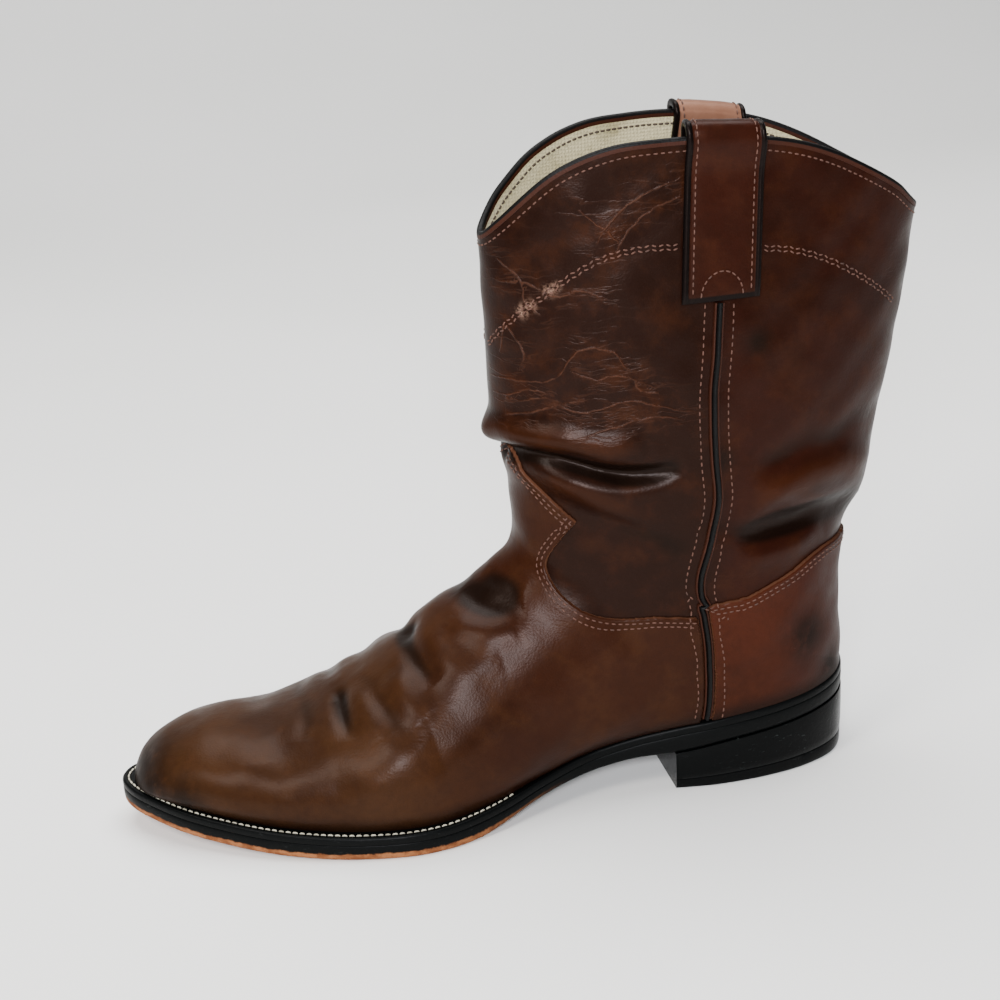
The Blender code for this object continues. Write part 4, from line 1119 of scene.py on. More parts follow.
def stitches_object(name, groups):
    """One mesh of all stitches in the groups."""
    rings = np.concatenate(groups)
    count, steps, size = rings.shape[:3]
    quads = tube_faces(steps, size)[:, ::-1]
    caps = np.array([[0, 1, 2, 3], [0, 3, 4, 5]])
    far = (steps - 1) * size + caps[:, ::-1]
    one = np.vstack([quads, caps, far])
    faces = (one[None] + (np.arange(count) * steps * size)[:, None, None]).reshape(-1, 4)
    tone = np.repeat(np.random.default_rng(7).random(count), steps * size)
    points = rings.reshape(-1, 3)
    first = points[:steps * size] - points[:steps * size].mean(0)
    spread = sum(np.dot(first[f[0]], np.cross(first[f[1]], first[f[2]])) for f in one)
    if spread < 0:
        faces = faces[:, ::-1]
    return make_mesh(name, points, faces, {"tone": tone}, 60)


def rim_rows(stretches, side, distances, lift, pitch):
    """Stitch rows at several distances inside an overlay's edge."""
    groups = []
    for stretch in stretches:
        row, across = side_path(stretch[:, 0], stretch[:, 1], side)
        for distance in distances:
            new_row, new_across = shifted(row, across, distance * side)
            points, normal, _ = leather(smoothed(new_row), smoothed(new_across), lift)
            groups.append(stitch_row(points, normal, pitch))
    return groups


def seam_rows(side, lift, pitch):
    """A row at each side of the piping, over the overlays as far up as the vamp's corner."""
    groups = []
    row, across = seam_path(side, 220)
    for sideways in (0.0058, -0.0054):
        new_row, new_across = shifted(row, across, sideways)
        over_vamp = skin(new_row, new_across)[:, 2] < VAMP_SIDE[0][1] * SHAFT_HEIGHT
        points, normal, _ = leather(smoothed(new_row), smoothed(new_across),
                                    np.where(over_vamp, lift, 0.0))
        groups.append(stitch_row(points, normal, pitch))
    return groups


def arc_rows(side, pitch):
    """The ornamental arc: two rows side by side, their stitches slanted to and fro."""
    groups = []
    for line in (ARC_FRONT, ARC_BACK):
        path, _ = dense(line, 160)
        for sideways in (0.0008, -0.0008):
            new_row, new_across = shifted(path[:, 0], side * path[:, 1], sideways)
            points, normal, _ = leather(new_row, new_across)
            groups.append(stitch_row(points, normal, pitch, length=0.0021, slant=0.35))
    return groups


def collar_row(below, depth):
    """A line round the shaft, below the collar's edge and depth under the leather's face."""
    across = np.linspace(-0.997, 0.997, 500)
    row, across = shifted(collar_rows(across), across, below)
    points, normal, _ = leather(row, across, -depth)
    return points, normal


def boot_stitches(overlay_pitch, seam_pitch, edge_pitch):
    """All tan stitch rows on the upper: vamp, counter, seams, arcs and collar."""
    lift = FIT_GAP + OVERLAY
    groups = []
    for side in (1.0, -1.0):
        groups += rim_rows(vamp_line(side)[1:], side, (-0.0019, -0.0039), lift, overlay_pitch)
        groups += rim_rows(counter_line(side)[1:], side, (0.0019, 0.0039), lift, overlay_pitch)
        groups += seam_rows(side, lift, seam_pitch)
        groups += arc_rows(side, overlay_pitch)
    groups.append(stitch_row(*collar_row(0.0026, 0.0), edge_pitch))
    return groups


def lining_stitches():
    """Dark row inside the collar, a little below its edge."""
    points, normal = collar_row(0.0030, WALL)
    return [stitch_row(points, -normal, pitch=0.0024, length=0.0023, radius=0.00045)]


def strap_stitches(side, pitch):
    """Rows along both edges of a strap's outer face and the half-round at its foot."""
    near, face = strap_faces(side)
    normals = unit(np.cross(np.gradient(face, axis=0), np.gradient(face, axis=1)))
    middle = face.shape[1] // 2
    if (normals[:, middle] * (face - near)[:, middle]).sum() < 0:
        normals = -normals
    groups = []
    share = STRAP_ROW / STRAP_WIDTH
    for column in (share, 1 - share):
        line = across_strap(face, [column])[2:-2, 0]
        groups.append(stitch_row(line, unit(across_strap(normals, [column])[2:-2, 0]), pitch))
    gaps = np.linalg.norm(np.diff(face[:, middle], axis=0), axis=-1)
    way = np.concatenate([[0], np.cumsum(gaps)])
    turn = np.linspace(0, math.pi, 40)
    place = np.interp(STRAP_ARC_FOOT + STRAP_ARC_HEIGHT * np.sin(turn), way, np.arange(len(face)))
    low = place.astype(int)
    part = (place - low)[:, None]
    columns = 0.5 + STRAP_ARC_REACH * np.cos(turn) / STRAP_WIDTH
    pick = np.arange(len(turn))
    line, up = (grid[low, pick] * (1 - part) + grid[low + 1, pick] * part
                for grid in (across_strap(face, columns), across_strap(normals, columns)))
    groups.append(stitch_row(line, unit(up), pitch=0.0024))
    return groups


def welt_stitches(pitch):
    """Off-white row on the welt from the waist round the toe to the waist."""
    x, outer, inner = stations(flat(WELT_STITCH_INSET), 700)
    height = welt_top(x) - WELT_THICKNESS * 0.03
    one = np.stack([x, outer, height], -1)
    other = np.stack([x, inner, height], -1)
    line = np.vstack([one, other[-2:0:-1]])
    line = line[line[:, 0] > WELT_STITCH_START]
    normal = np.tile([0.0, 0.0, 1.0], (len(line), 1))
    return [stitch_row(line, normal, pitch, length=0.0024, radius=0.00036)]


# Materials

def linear(colour):
    """Linear colour from a six-figure sRGB hex text; a setting's colour is linear already."""
    if not isinstance(colour, str):
        return tuple(colour)
    parts = [int(colour[k:k + 2], 16) / 255 for k in (1, 3, 5)]
    return (*(c / 12.92 if c <= 0.04045 else ((c + 0.055) / 1.055) ** 2.4 for c in parts), 1.0)


def add(tree, kind, inputs=None, **settings):
    """New shader node with settings, its inputs linked or set."""
    node = tree.nodes.new("ShaderNode" + kind)
    for key, value in settings.items():
        setattr(node, key, value)
    set_inputs(tree, node, inputs or {})
    return node


def mixed(tree, share, one, other):
    """Colour one with a share of the other over it."""
    return add(tree, "Mix", {0: share, 6: one, 7: other}, data_type="RGBA").outputs[2]


def maths(tree, operation, one, other=0.0):
    """Result of one operation on two values or sockets."""
    return add(tree, "Math", {0: one, 1: other}, operation=operation).outputs[0]


def ranged(tree, value, low, high, to_low=0.0, to_high=1.0):
    """value brought from low..high to to_low..to_high, clamped and eased."""
    return add(tree, "MapRange", {"Value": value, "From Min": low, "From Max": high,
                                  "To Min": to_low, "To Max": to_high},
               interpolation_type="SMOOTHSTEP").outputs[0]


def noise(tree, where, size, detail=3.0, rough=0.55):
    """Noise whose features are about size metres."""
    return add(tree, "TexNoise", {"Vector": where, "Scale": 1 / size, "Detail": detail,
                                  "Roughness": rough}).outputs["Fac"]


def cells(tree, where, size, feature="F1"):
    """Distance within cells of about size metres."""
    return add(tree, "TexVoronoi", {"Vector": where, "Scale": 1 / size},
               feature=feature).outputs["Distance"]


def mesh_field(tree, name):
    """A float field that the mesh carries."""
    return add(tree, "Attribute", attribute_name=name).outputs["Fac"]


def bump(tree, height, distance, strength, normal=None):
    """Normal of a relief whose height of 1 stands for distance metres."""
    inputs = {"Height": height, "Distance": distance, "Strength": strength}
    if normal is not None:
        inputs["Normal"] = normal
    return add(tree, "Bump", inputs).outputs["Normal"]


def start_material(name):
    """Empty material with its node tree, surface node and object coordinates."""
    material = bpy.data.materials.new(name)
    material.use_nodes = True
    tree = material.node_tree
    tree.nodes.clear()
    surface = add(tree, "BsdfPrincipled")
    add(tree, "OutputMaterial", {"Surface": surface.outputs[0]})
    where = add(tree, "TexCoord").outputs["Object"]
    return material, tree, surface, where


def set_inputs(tree, node, values):
    """Links each input to the socket given for it, or sets it to the value."""
    for key, value in values.items():
        if isinstance(value, bpy.types.NodeSocket):
            tree.links.new(value, node.inputs[key])
        else:
            node.inputs[key].default_value = value


def mottled(tree, where, medium, colour, dark, light):
    """Dye that has taken unevenly: dark in broad and fine patches, light in middling ones."""
    broad = noise(tree, where, 0.060, 4.0, 0.6)
    fine = noise(tree, where, 0.0028, 3.0, 0.6)
    colour = mixed(tree, ranged(tree, broad, 0.40, 0.66, 0.0, 0.55), colour, linear(dark))
    colour = mixed(tree, ranged(tree, medium, 0.44, 0.74, 0.0, 0.38), colour, linear(light))
    return mixed(tree, ranged(tree, fine, 0.38, 0.78, 0.0, 0.22), colour, linear(dark))


def worn(tree, where, scuff, colour, light):
    """Painted shade in the creases and painted highlight on their ridges; dirt at scuffed spots,
    most at the toe; darker over the lowest 8.5 mm above the welt; rubbed spots.
    """
    fold = mesh_field(tree, "fold")
    # Painted shade: colour darkened down in the creases' troughs, the more the deeper they are.
    colour = mixed(tree, ranged(tree, fold, -0.0003, -0.0018, 0.0, 0.90), colour, linear("#0A0503"))
    # Painted highlight: colour lightened on the creases' ridges.
    colour = mixed(tree, ranged(tree, fold, 0.0005, 0.0026, 0.0, 0.38), colour, linear(light))
    colour = mixed(tree, maths(tree, "MULTIPLY", scuff, 0.94), colour, linear("#0D0704"))
    # Darker over the lowest 8.5 mm of the leather, just above the welt.
    low = ranged(tree, mesh_field(tree, "over_welt"), 0.0085, 0.0, 0.0, 0.80)
    colour = mixed(tree, low, colour, linear("#0B0604"))
    rubbed = maths(tree, "MULTIPLY", mesh_field(tree, "rubbed"),
                   ranged(tree, noise(tree, where, 0.0022, 4.0, 0.7), 0.42, 0.60))
    return mixed(tree, maths(tree, "MULTIPLY", rubbed, 0.75), colour, linear("#9A7A68"))


def leather_grain(tree, where):
    """Pores and pebble of the grain under soft unevenness of the hide."""
    fine = maths(tree, "ADD", maths(tree, "MULTIPLY", cells(tree, where, 0.00090), 0.5),
                 maths(tree, "MULTIPLY", noise(tree, where, 0.00042, 2.0), 0.35))
    pebble = maths(tree, "MULTIPLY", cells(tree, where, 0.0024, "SMOOTH_F1"), 0.3)
    normal = bump(tree, maths(tree, "ADD", fine, pebble), 0.00014, 0.45)
    return bump(tree, noise(tree, where, 0.011, 2.0, 0.5), 0.0011, 0.20, normal)


def veined(tree, where, colour, light, normal, strength):
    """Pale broken wrinkles along the VEINS lines, finer ones about them, and stretched leather."""
    sway = maths(tree, "SUBTRACT", noise(tree, where, 0.0050, 4.0, 0.6), 0.5)
    wobble = maths(tree, "MULTIPLY", sway, 0.0026)
    apart = maths(tree, "ABSOLUTE", maths(tree, "ADD", mesh_field(tree, "vein"), wobble))
    broken = ranged(tree, noise(tree, where, 0.0060, 4.0, 0.7), 0.36, 0.56, 0.25, 1.0)
    line = maths(tree, "MULTIPLY", ranged(tree, apart, 0.00058, 0.00004),
                 maths(tree, "MULTIPLY", mesh_field(tree, "vein_near"), broken))
    creased = mesh_field(tree, "creased")
    elsewhere = ranged(tree, noise(tree, where, 0.024, 3.0), 0.56, 0.72, 0.0, 0.3)
    fine_lines = maths(tree, "MULTIPLY", wrinkles(tree, where),
                       maths(tree, "MAXIMUM", creased, elsewhere))
    line = maths(tree, "MAXIMUM", line, maths(tree, "MULTIPLY", fine_lines, 0.30))
    stretched = maths(tree, "MULTIPLY", creased,
                      ranged(tree, noise(tree, where, 0.007, 4.0, 0.65), 0.42, 0.66, 0.0, 0.26))
    colour = mixed(tree, stretched, colour, linear(light))
    colour = mixed(tree, maths(tree, "MULTIPLY", line, strength), colour, linear("#5E3B2B"))
    return colour, bump(tree, line, 0.0005, 0.6, normal)


def leather_material(name, base, dark, light, edge, rough=0.46, veins=0.0, change=None):
    """Oiled smooth leather: mottled brown, fine grain, painted shade in the creases and painted
    highlight on their ridges, pale where rubbed.

    change gives a second base colour and the x where it begins and is full.
    """
    material, tree, surface, where = start_material(name)
    medium = noise(tree, where, 0.014, 5.0, 0.62)
    colour = linear(base)
    if change:
        x = add(tree, "SeparateXYZ", {0: where}).outputs[0]
        colour = mixed(tree, ranged(tree, x, change[1], change[2]), colour, linear(change[0]))
    colour = mottled(tree, where, medium, colour, dark, light)
    scuff = maths(tree, "MULTIPLY", mesh_field(tree, "scuff"),
                  ranged(tree, noise(tree, where, 0.006, 5.0, 0.6), 0.20, 0.52))
    colour = worn(tree, where, scuff, colour, light)
    normal = leather_grain(tree, where)
    if veins:
        colour, normal = veined(tree, where, colour, light, normal, veins)
    colour = mixed(tree, ranged(tree, mesh_field(tree, "edge"), 0.45, 0.95), colour, linear(edge))
    gloss = maths(tree, "ADD", ranged(tree, medium, 0.3, 0.7, rough - 0.07, rough + 0.10),
                  maths(tree, "MULTIPLY", scuff, 0.2))
    set_inputs(tree, surface, {"Base Color": colour, "Roughness": gloss, "Normal": normal,
                               "Specular IOR Level": 0.06, "Specular Tint": linear("#E6AE92"),
                               "Coat Weight": 0.09, "Coat Roughness": 0.30,
                               "Coat Normal": normal})
    return material


def wrinkles(tree, where):
    """Fine broken lines that run round the shaft: the level lines of stretched, pushed noise."""
    pushed = warped(tree, where, 0.014, 0.006)
    long = add(tree, "Mapping", {"Vector": pushed, "Scale": (0.26, 0.26, 1.6)}).outputs[0]
    value = noise(tree, long, 0.0085, 3.0, 0.55)
    apart = maths(tree, "ABSOLUTE", maths(tree, "SUBTRACT", value, 0.5))
    return ranged(tree, apart, 0.024, 0.002)


def warped(tree, where, size, amount):
    """Coordinates pushed about by noise of the given size."""
    push = add(tree, "TexNoise", {"Vector": where, "Scale": 1 / size, "Detail": 3.0}).outputs["Color"]
    centred = add(tree, "VectorMath", {0: push, 1: (0.5, 0.5, 0.5)}, operation="SUBTRACT").outputs[0]
    scaled = add(tree, "VectorMath", {0: centred, "Scale": amount}, operation="SCALE").outputs[0]
    return add(tree, "VectorMath", {0: where, 1: scaled}, operation="ADD").outputs[0]


def trim_leather(name, base, rubbed, rough, edge):
    """Dyed trim leather: even colour, rubbed paler in places, fine pebble, black where dyed."""
    material, tree, surface, where = start_material(name)
    rub = ranged(tree, noise(tree, where, 0.012, 6.0, 0.68), 0.56, 0.74)
    colour = mixed(tree, maths(tree, "MULTIPLY", rub, 0.5), linear(base), linear(rubbed))
    colour = mixed(tree, ranged(tree, mesh_field(tree, "edge"), 0.35, 0.65), colour, linear(edge))
    normal = bump(tree, cells(tree, where, 0.0009), 0.00014, 0.5)
    normal = bump(tree, noise(tree, where, 0.005, 4.0), 0.0006, 0.25, normal)
    set_inputs(tree, surface, {"Base Color": colour, "Normal": normal, "Specular IOR Level": 0.12,
                               "Roughness": ranged(tree, rub, 0.0, 1.0, rough, rough + 0.18)})
    return material


def canvas_material(name, base):
    """Cream cotton lining: plain weave of about 0.7 mm with dust and rubbing."""
    material, tree, surface, where = start_material(name)
    weave = add(tree, "TexWave", {"Vector": where, "Scale": 230.0, "Distortion": 1.2,
                                  "Detail": 1.0}, bands_direction="Z").outputs["Fac"]
    warp = add(tree, "TexWave", {"Vector": where, "Scale": 230.0, "Distortion": 1.2,
                                 "Detail": 1.0}, bands_direction="X").outputs["Fac"]
    cloth = maths(tree, "MULTIPLY", weave, warp)
    fuzz = noise(tree, where, 0.0007, 3.0, 0.7)
    stain = ranged(tree, noise(tree, where, 0.020, 5.0, 0.65), 0.48, 0.72, 0.0, 0.75)
    colour = mixed(tree, stain, linear(base), linear("#8C825C"))
    colour = mixed(tree, ranged(tree, fuzz, 0.45, 0.7, 0.0, 0.45), colour, linear("#6E6648"))
    normal = bump(tree, maths(tree, "ADD", cloth, fuzz), 0.00035, 0.6)
    set_inputs(tree, surface, {"Base Color": colour, "Roughness": 0.92, "Normal": normal,
                               "Specular IOR Level": 0.2, "Sheen Weight": 0.25})
    return material


def ink_material(name, base, worn, wear, rough=0.30, tan=None):
    """Inked and waxed sole edge: near black, scuffed, with the bare leather low at the toe."""
    material, tree, surface, where = start_material(name)
    scratch = add(tree, "Mapping", {"Vector": where, "Scale": (1.0, 1.0, 3.0)}).outputs[0]
    marks = ranged(tree, noise(tree, scratch, 0.0035, 8.0, 0.75), 0.60, 0.70)
    broad = ranged(tree, noise(tree, where, 0.022, 3.0), 0.46, 0.62)
    scuffed = maths(tree, "MULTIPLY", maths(tree, "MULTIPLY", marks, broad), wear)
    colour = mixed(tree, scuffed, linear(base), linear(worn))
    bare = scuffed
    if tan:
        along = add(tree, "SeparateXYZ", {0: where}).outputs[0]
        forward = ranged(tree, along, 0.085, 0.150)
        edge = maths(tree, "ADD", mesh_field(tree, "up"),
                     maths(tree, "MULTIPLY", maths(tree, "SUBTRACT",
                                                   noise(tree, where, 0.006, 5.0, 0.7), 0.5), 0.5))
        bare = maths(tree, "MULTIPLY", ranged(tree, edge, 0.50, 0.36), forward)
        skin_tone = mixed(tree, ranged(tree, noise(tree, where, 0.004, 5.0), 0.4, 0.65),
                          linear(tan), linear("#6A3E24"))
        colour = mixed(tree, bare, colour, skin_tone)
    normal = bump(tree, noise(tree, where, 0.0016, 5.0, 0.6), 0.0004, 0.30)
    normal = bump(tree, marks, 0.0002, 0.4, normal)
    shine = maths(tree, "ADD", maths(tree, "MULTIPLY", bare, 0.30), rough)
    set_inputs(tree, surface, {"Base Color": colour, "Roughness": shine, "Normal": normal,
                               "Specular IOR Level": 0.06})
    return material


def thread_material(name, base, dirt):
    """Waxed thread: each stitch a little lighter or darker, twisted strands."""
    material, tree, surface, where = start_material(name)
    tone = mesh_field(tree, "tone")
    soil = ranged(tree, noise(tree, where, 0.010, 4.0), 0.40, 0.70, 0.0, 0.8)
    colour = mixed(tree, maths(tree, "MULTIPLY", tone, soil), linear(base), linear(dirt))
    normal = bump(tree, noise(tree, where, 0.0003, 2.0), 0.00012, 0.7)
    set_inputs(tree, surface, {"Base Color": colour, "Roughness": 0.72, "Normal": normal})
    return material


def insole_material(name):
    """Sock lining of tan leather, darkened in broad soiled patches."""
    material, tree, surface, where = start_material(name)
    soil = ranged(tree, noise(tree, where, 0.035, 5.0, 0.6), 0.40, 0.66)
    colour = mixed(tree, soil, linear("#B39A70"), linear("#7C6444"))
    normal = bump(tree, cells(tree, where, 0.0011), 0.0002, 0.5)
    set_inputs(tree, surface, {"Base Color": colour, "Roughness": 0.78, "Normal": normal})
    return material


def floor_material():
    """Pale matte paper of the studio floor."""
    material, tree, surface, where = start_material("studio_paper")
    tone = ranged(tree, noise(tree, where, 0.6, 2.0), 0.3, 0.7)
    colour = mixed(tree, tone, linear("#EBEBE8"), linear("#F2F1EF"))
    set_inputs(tree, surface, {"Base Color": colour, "Roughness": 0.75})
    return material


# Stage

def aim(thing, forward, up):
    """Turns an object so that its -Z looks forward and its +Y is up."""
    back = -Vector(forward).normalized()
    right = Vector(up).cross(back).normalized()
    true_up = back.cross(right)
    thing.matrix_world = (Matrix.Translation(thing.location)
                          @ Matrix((right, true_up, back)).transposed().to_4x4())


def set_camera():
    """Camera at the measured viewpoint, turned to the boot's middle by the shortest turn."""
    place = np.array([0.2392, 0.7327, 0.4131])
    forward = np.array([-0.36125, -0.88587, -0.29112])
    right = np.array([-0.92597, 0.37760, 0.0])
    up = np.array([-0.10993, -0.26957, 0.95669])
    focal = 1213.03
    target_u, target_v = 266.0, 600.0
    ray = forward * focal + right * (target_u - 500) - up * (target_v - 500)
    new = ray / np.linalg.norm(ray)
    axis = np.cross(forward, new)
    sine, cosine = np.linalg.norm(axis), float(forward @ new)
    axis = axis / sine
    turned_up = (up * cosine + np.cross(axis, up) * sine + axis * (axis @ up) * (1 - cosine))
    data = bpy.data.cameras.new("camera")
    data.lens = 73.0
    camera = bpy.data.objects.new("camera", data)
    camera.location = place
    bpy.context.scene.collection.objects.link(camera)
    aim(camera, new, turned_up)
    bpy.context.scene.camera = camera
    return camera


def area_light(name, place, target, size, power, colour):
    """Rectangular light at place, aimed at target, with its power in watts."""
    data = bpy.data.lights.new(name, "AREA")
    data.shape = "RECTANGLE"
    data.size, data.size_y = size
    data.energy = power
    data.color = linear(colour)[:3]
    light = bpy.data.objects.new(name, data)
    light.location = place
    bpy.context.scene.collection.objects.link(light)
    aim(light, np.array(target) - np.array(place), (0, 0, 1))
    return light


def make_stage():
    """Sweep of pale paper: flat floor that curves up behind the boot."""
    turn = np.linspace(0, math.pi / 2, 24)
    back = [(2.2, 0.0), *[(-1.1 - 0.9 * math.sin(t), 0.9 * (1 - math.cos(t))) for t in turn],
            (-2.0, 3.2)]
    wide = np.linspace(-3.2, 3.2, 9)
    points = [[x, y, z] for y, z in back for x in wide]
    count = len(back)
    faces = tube_faces(count, len(wide), closed_ring=False)
    mesh = bpy.data.meshes.new("studio_floor")
    mesh.from_pydata(points, [], [list(map(int, face)) for face in faces])
    mesh.shade_smooth()
    floor = bpy.data.objects.new("studio_floor", mesh)
    bpy.context.scene.collection.objects.link(floor)
    floor.data.materials.append(floor_material())
    world = bpy.data.worlds.new("studio")
    world.use_nodes = True
    world.node_tree.nodes["Background"].inputs[0].default_value = linear("#E6E8EA")
    world.node_tree.nodes["Background"].inputs[1].default_value = 0.22
    bpy.context.scene.world = world
    centre = (0.1, 0.0, 0.12)
    area_light("key", (0.95, 0.60, 1.00), centre, (0.40, 0.40), 12.0, "#FFF9F2")
    area_light("top", (0.0, -0.35, 1.6), (0.1, 0.0, 0.0), (1.6, 1.2), 52.0, "#FFFFFF")
    area_light("front", (0.42, 1.25, 0.74), centre, (0.40, 0.26), 30.0, "#F8F9FF")
    set_camera()


# Pieces

def placed(thing, material, slot, *nodes):
    """Gives a piece its material and body, and hides the plain solids that it stands for."""
    thing.data.materials.clear()
    thing.data.materials.append(material)
    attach(thing, "root")
    if nodes:
        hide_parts(*nodes)
    return thing


def length_setting(name, text, value):
    """Length property in metres."""
    return bpy.props.FloatProperty(name=name, description=text, default=value, min=0.0005,
                                   unit="LENGTH")


def colour_setting(name, text, value):
    """Colour property with its default given in sRGB hex."""
    return bpy.props.FloatVectorProperty(name=name, description=text, default=linear(value),
                                         size=4, min=0.0, max=1.0, subtype="COLOR")


class BootSettings(bpy.types.PropertyGroup):
    """Sizes and colours that a user would change"""
    leather_step: length_setting(
        "Leather mesh step", "Distance between points of the outer leather", 0.0011)
    lining_step: length_setting(
        "Lining mesh step", "Distance between points of the lining", 0.0024)
    overlay_pitch: length_setting(
        "Overlay stitches", "Pitch of the rows on the vamp, counter and arcs", 0.0026)
    seam_pitch: length_setting(
        "Seam stitches", "Pitch of the rows beside the piping", 0.0029)
    edge_pitch: length_setting(
        "Edge stitches", "Pitch of the rows on the collar and the pull straps", 0.0027)
    welt_pitch: length_setting("Welt stitches", "Pitch of the row on the welt", 0.0028)
    shaft_colour: colour_setting("Shaft", "Leather of the shaft", "#220C06")
    ankle_colour: colour_setting("Ankle", "Leather of the shaft's front panel", "#170905")
    vamp_colour: colour_setting("Vamp", "Leather over the instep", "#271107")
    toe_colour: colour_setting("Toe", "Leather of the vamp towards the toe", "#301C0D")
    counter_colour: colour_setting("Counter", "Leather over the heel", "#2C0F06")
    strap_colour: colour_setting("Outer strap", "Leather of the outer pull strap", "#260E07")
    inner_strap_colour: colour_setting(
        "Inner strap", "Faded leather of the inner pull strap", "#765342")
    lining_colour: colour_setting("Lining", "Cotton canvas of the lining", "#BFB590")
    thread_colour: colour_setting("Thread", "Thread of the upper's seams", "#4E2F22")
    welt_thread_colour: colour_setting("Welt thread", "Thread on the welt", "#B4AF9C")
    ink_colour: colour_setting("Edge ink", "Ink on the edges of welt and sole", "#050606")
    heel_colour: colour_setting("Heel ink", "Ink on the heel", "#040505")
    bare_colour: colour_setting("Bare sole", "Sole leather where the ink is worn", "#8E5B39")


class BOOT_OT_leather(bpy.types.Operator):
    """Shaft, vamp and counter leather with their creases"""
    bl_idname = "boot.leather"
    bl_label = "Leather"

    def execute(self, context):
        settings = context.scene.boot_settings
        step = settings.leather_step
        looks = leather_material("shaft_oiled_leather", settings.shaft_colour, "#150703",
                                 "#331809", "#3E2418", 0.38, veins=0.32,
                                 change=(settings.ankle_colour, 0.015, 0.035))
        placed(make_shaft(step), looks, "upper", "upper")
        looks = leather_material("vamp_oiled_leather", settings.vamp_colour, "#190A05",
                                 "#38200F", "#4A2E20", 0.40,
                                 change=(settings.toe_colour, 0.105, 0.175))
        vamp = make_overlay("vamp_leather", VAMP_ROWS, vamp_line, VAMP_CLOSING, step)
        placed(vamp, looks, "vamp", "vamp")
        # The counter is painted darker towards the heel's back, where it turns from the light:
        # painted shade.
        looks = leather_material("counter_oiled_leather", settings.counter_colour, "#1C0A04",
                                 "#3E1C0D", "#4A2E20", 0.47, change=("#36160A", -0.02, 0.01))
        counter = make_overlay("counter_leather", COUNTER_ROWS, counter_line,
                               COUNTER_CLOSING, step)
        placed(counter, looks, "counter", "counter")
        return {"FINISHED"}


class BOOT_OT_lining(bpy.types.Operator):
    """Canvas lining and sock lining"""
    bl_idname = "boot.lining"
    bl_label = "Lining"

    def execute(self, context):
        settings = context.scene.boot_settings
        canvas = canvas_material("lining_canvas", settings.lining_colour)
        placed(make_lining(settings.lining_step), canvas, "upper", "upper")
        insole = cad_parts["insole"]
        insole.data.materials.clear()
        insole.data.materials.append(insole_material("sock_lining"))
        return {"FINISHED"}


class BOOT_OT_trim(bpy.types.Operator):
    """Side piping, pull straps and collar binding"""
    bl_idname = "boot.trim"
    bl_label = "Trim"

    def execute(self, context):
        settings = context.scene.boot_settings
        cord = trim_leather("piping_leather", "#2E150B", "#44261A", 0.46, "#030303")
        for name, side in (("lateral", 1.0), ("medial", -1.0)):
            placed(make_piping("piping_" + name, side), cord, "piping", "side_piping_" + name)
        for name, side, base, dark, light in (
                ("lateral", 1.0, settings.strap_colour, "#170804", "#3A1C0E"),
                ("medial", -1.0, settings.inner_strap_colour, "#5E3D2E", "#906C5A")):
            looks = leather_material("strap_leather_" + name, base, dark, light, "#070505", 0.42)
            placed(make_strap("strap_" + name, side), looks, "strap", "pull_strap_" + name)
        binding = trim_leather("binding_leather", "#30160C", "#44261A", 0.50, "#050404")
        placed(make_binding(), binding, "binding", "collar_binding")
        return {"FINISHED"}


class BOOT_OT_soles(bpy.types.Operator):
    """Welt, outsole and heel"""
    bl_idname = "boot.soles"
    bl_label = "Soles"

    def execute(self, context):
        settings = context.scene.boot_settings
        ink = settings.ink_colour
        welt = ink_material("welt_black_edge", ink, "#2A2E2C", 0.5, 0.38)
        placed(make_welt(), welt, "welt", "welt")
        sole = ink_material("outsole_edge", ink, "#2A2E2C", 0.5, 0.40, tan=settings.bare_colour)
        placed(make_outsole(), sole, "outsole", "outsole")
        heel = ink_material("heel_black_edge", settings.heel_colour, "#3A403E", 0.6, 0.26)
        placed(make_heel(), heel, "heel", "heel")
        return {"FINISHED"}


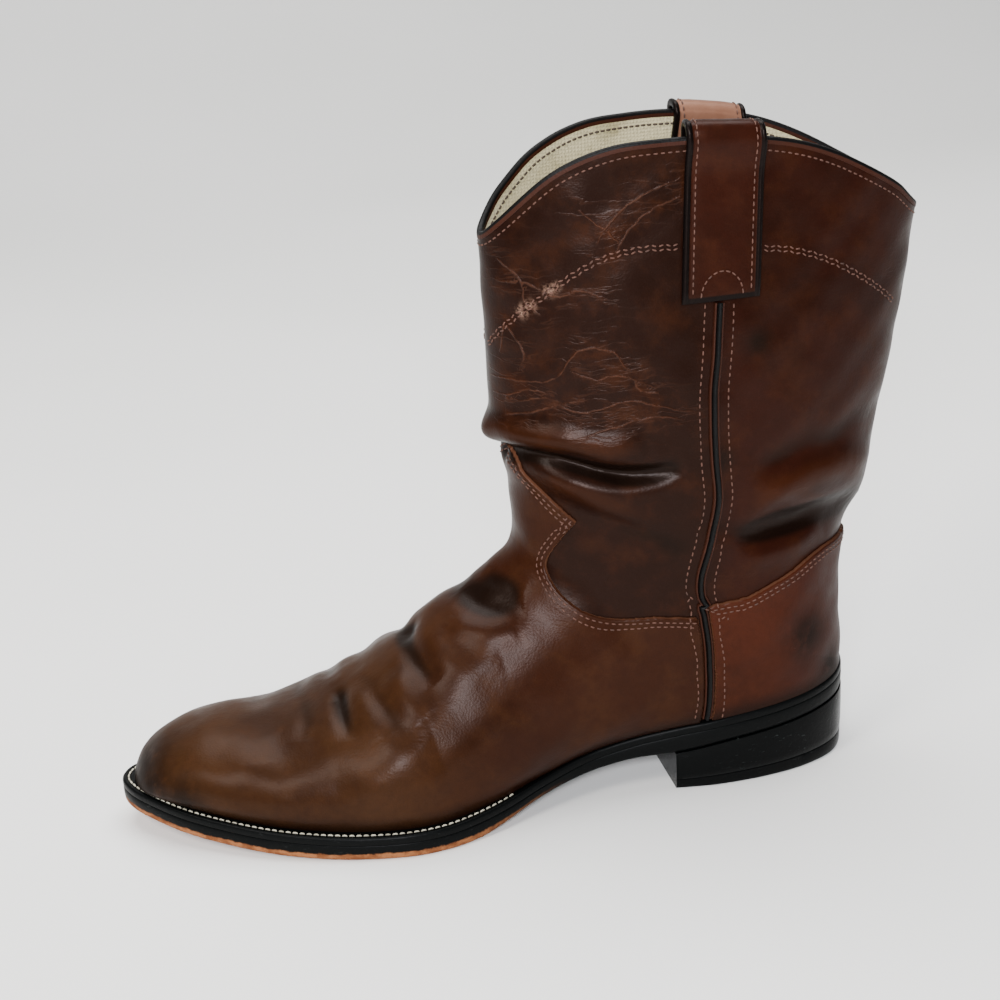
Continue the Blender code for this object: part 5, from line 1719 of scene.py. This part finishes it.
class BOOT_OT_stitches(bpy.types.Operator):
    """Every row of stitching"""
    bl_idname = "boot.stitches"
    bl_label = "Stitches"

    def execute(self, context):
        settings = context.scene.boot_settings
        tan = thread_material("tan_thread", settings.thread_colour, "#22130C")
        dark = thread_material("lining_thread", "#3A2E22", "#241A12")
        pale = thread_material("welt_thread", settings.welt_thread_colour, "#5A5546")
        upper = boot_stitches(settings.overlay_pitch, settings.seam_pitch, settings.edge_pitch)
        straps = [row for side in (1.0, -1.0) for row in strap_stitches(side, settings.edge_pitch)]
        for name, rows, thread, slot in (
                ("upper_stitching", upper, tan, "upper"),
                ("lining_stitching", lining_stitches(), dark, "upper"),
                ("strap_stitching", straps, tan, "strap"),
                ("welt_stitching", welt_stitches(settings.welt_pitch), pale, "welt")):
            placed(stitches_object(name, rows), thread, slot)
        return {"FINISHED"}


class BOOT_OT_stage(bpy.types.Operator):
    """Pale floor, soft lights and the camera"""
    bl_idname = "boot.stage"
    bl_label = "Stage"

    def execute(self, context):
        make_stage()
        return {"FINISHED"}


class BOOT_PT_panel(bpy.types.Panel):
    """Settings and steps of the boot"""
    bl_idname = "BOOT_PT_panel"
    bl_label = "Roper boot"
    bl_space_type = "VIEW_3D"
    bl_region_type = "UI"
    bl_category = "Boot"

    def draw(self, context):
        for name in BootSettings.__annotations__:
            self.layout.prop(context.scene.boot_settings, name)
        for step in STEPS:
            self.layout.operator(step.bl_idname)


STEPS = (BOOT_OT_leather, BOOT_OT_lining, BOOT_OT_trim, BOOT_OT_soles, BOOT_OT_stitches,
         BOOT_OT_stage)
CLASSES = (BootSettings, *STEPS, BOOT_PT_panel)


def register():
    """Makes the boot's settings, steps and panel known to Blender."""
    for one in CLASSES:
        bpy.utils.register_class(one)
    bpy.types.Scene.boot_settings = bpy.props.PointerProperty(type=BootSettings)


def unregister():
    """Takes the settings, steps and panel away again."""
    del bpy.types.Scene.boot_settings
    for one in reversed(CLASSES):
        bpy.utils.unregister_class(one)


def main():
    """Builds every piece over the frame."""
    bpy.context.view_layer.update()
    register()
    bpy.ops.boot.leather()
    bpy.ops.boot.lining()
    bpy.ops.boot.trim()
    bpy.ops.boot.soles()
    bpy.ops.boot.stitches()
    bpy.ops.boot.stage()


if __name__ == "__main__":
    main()
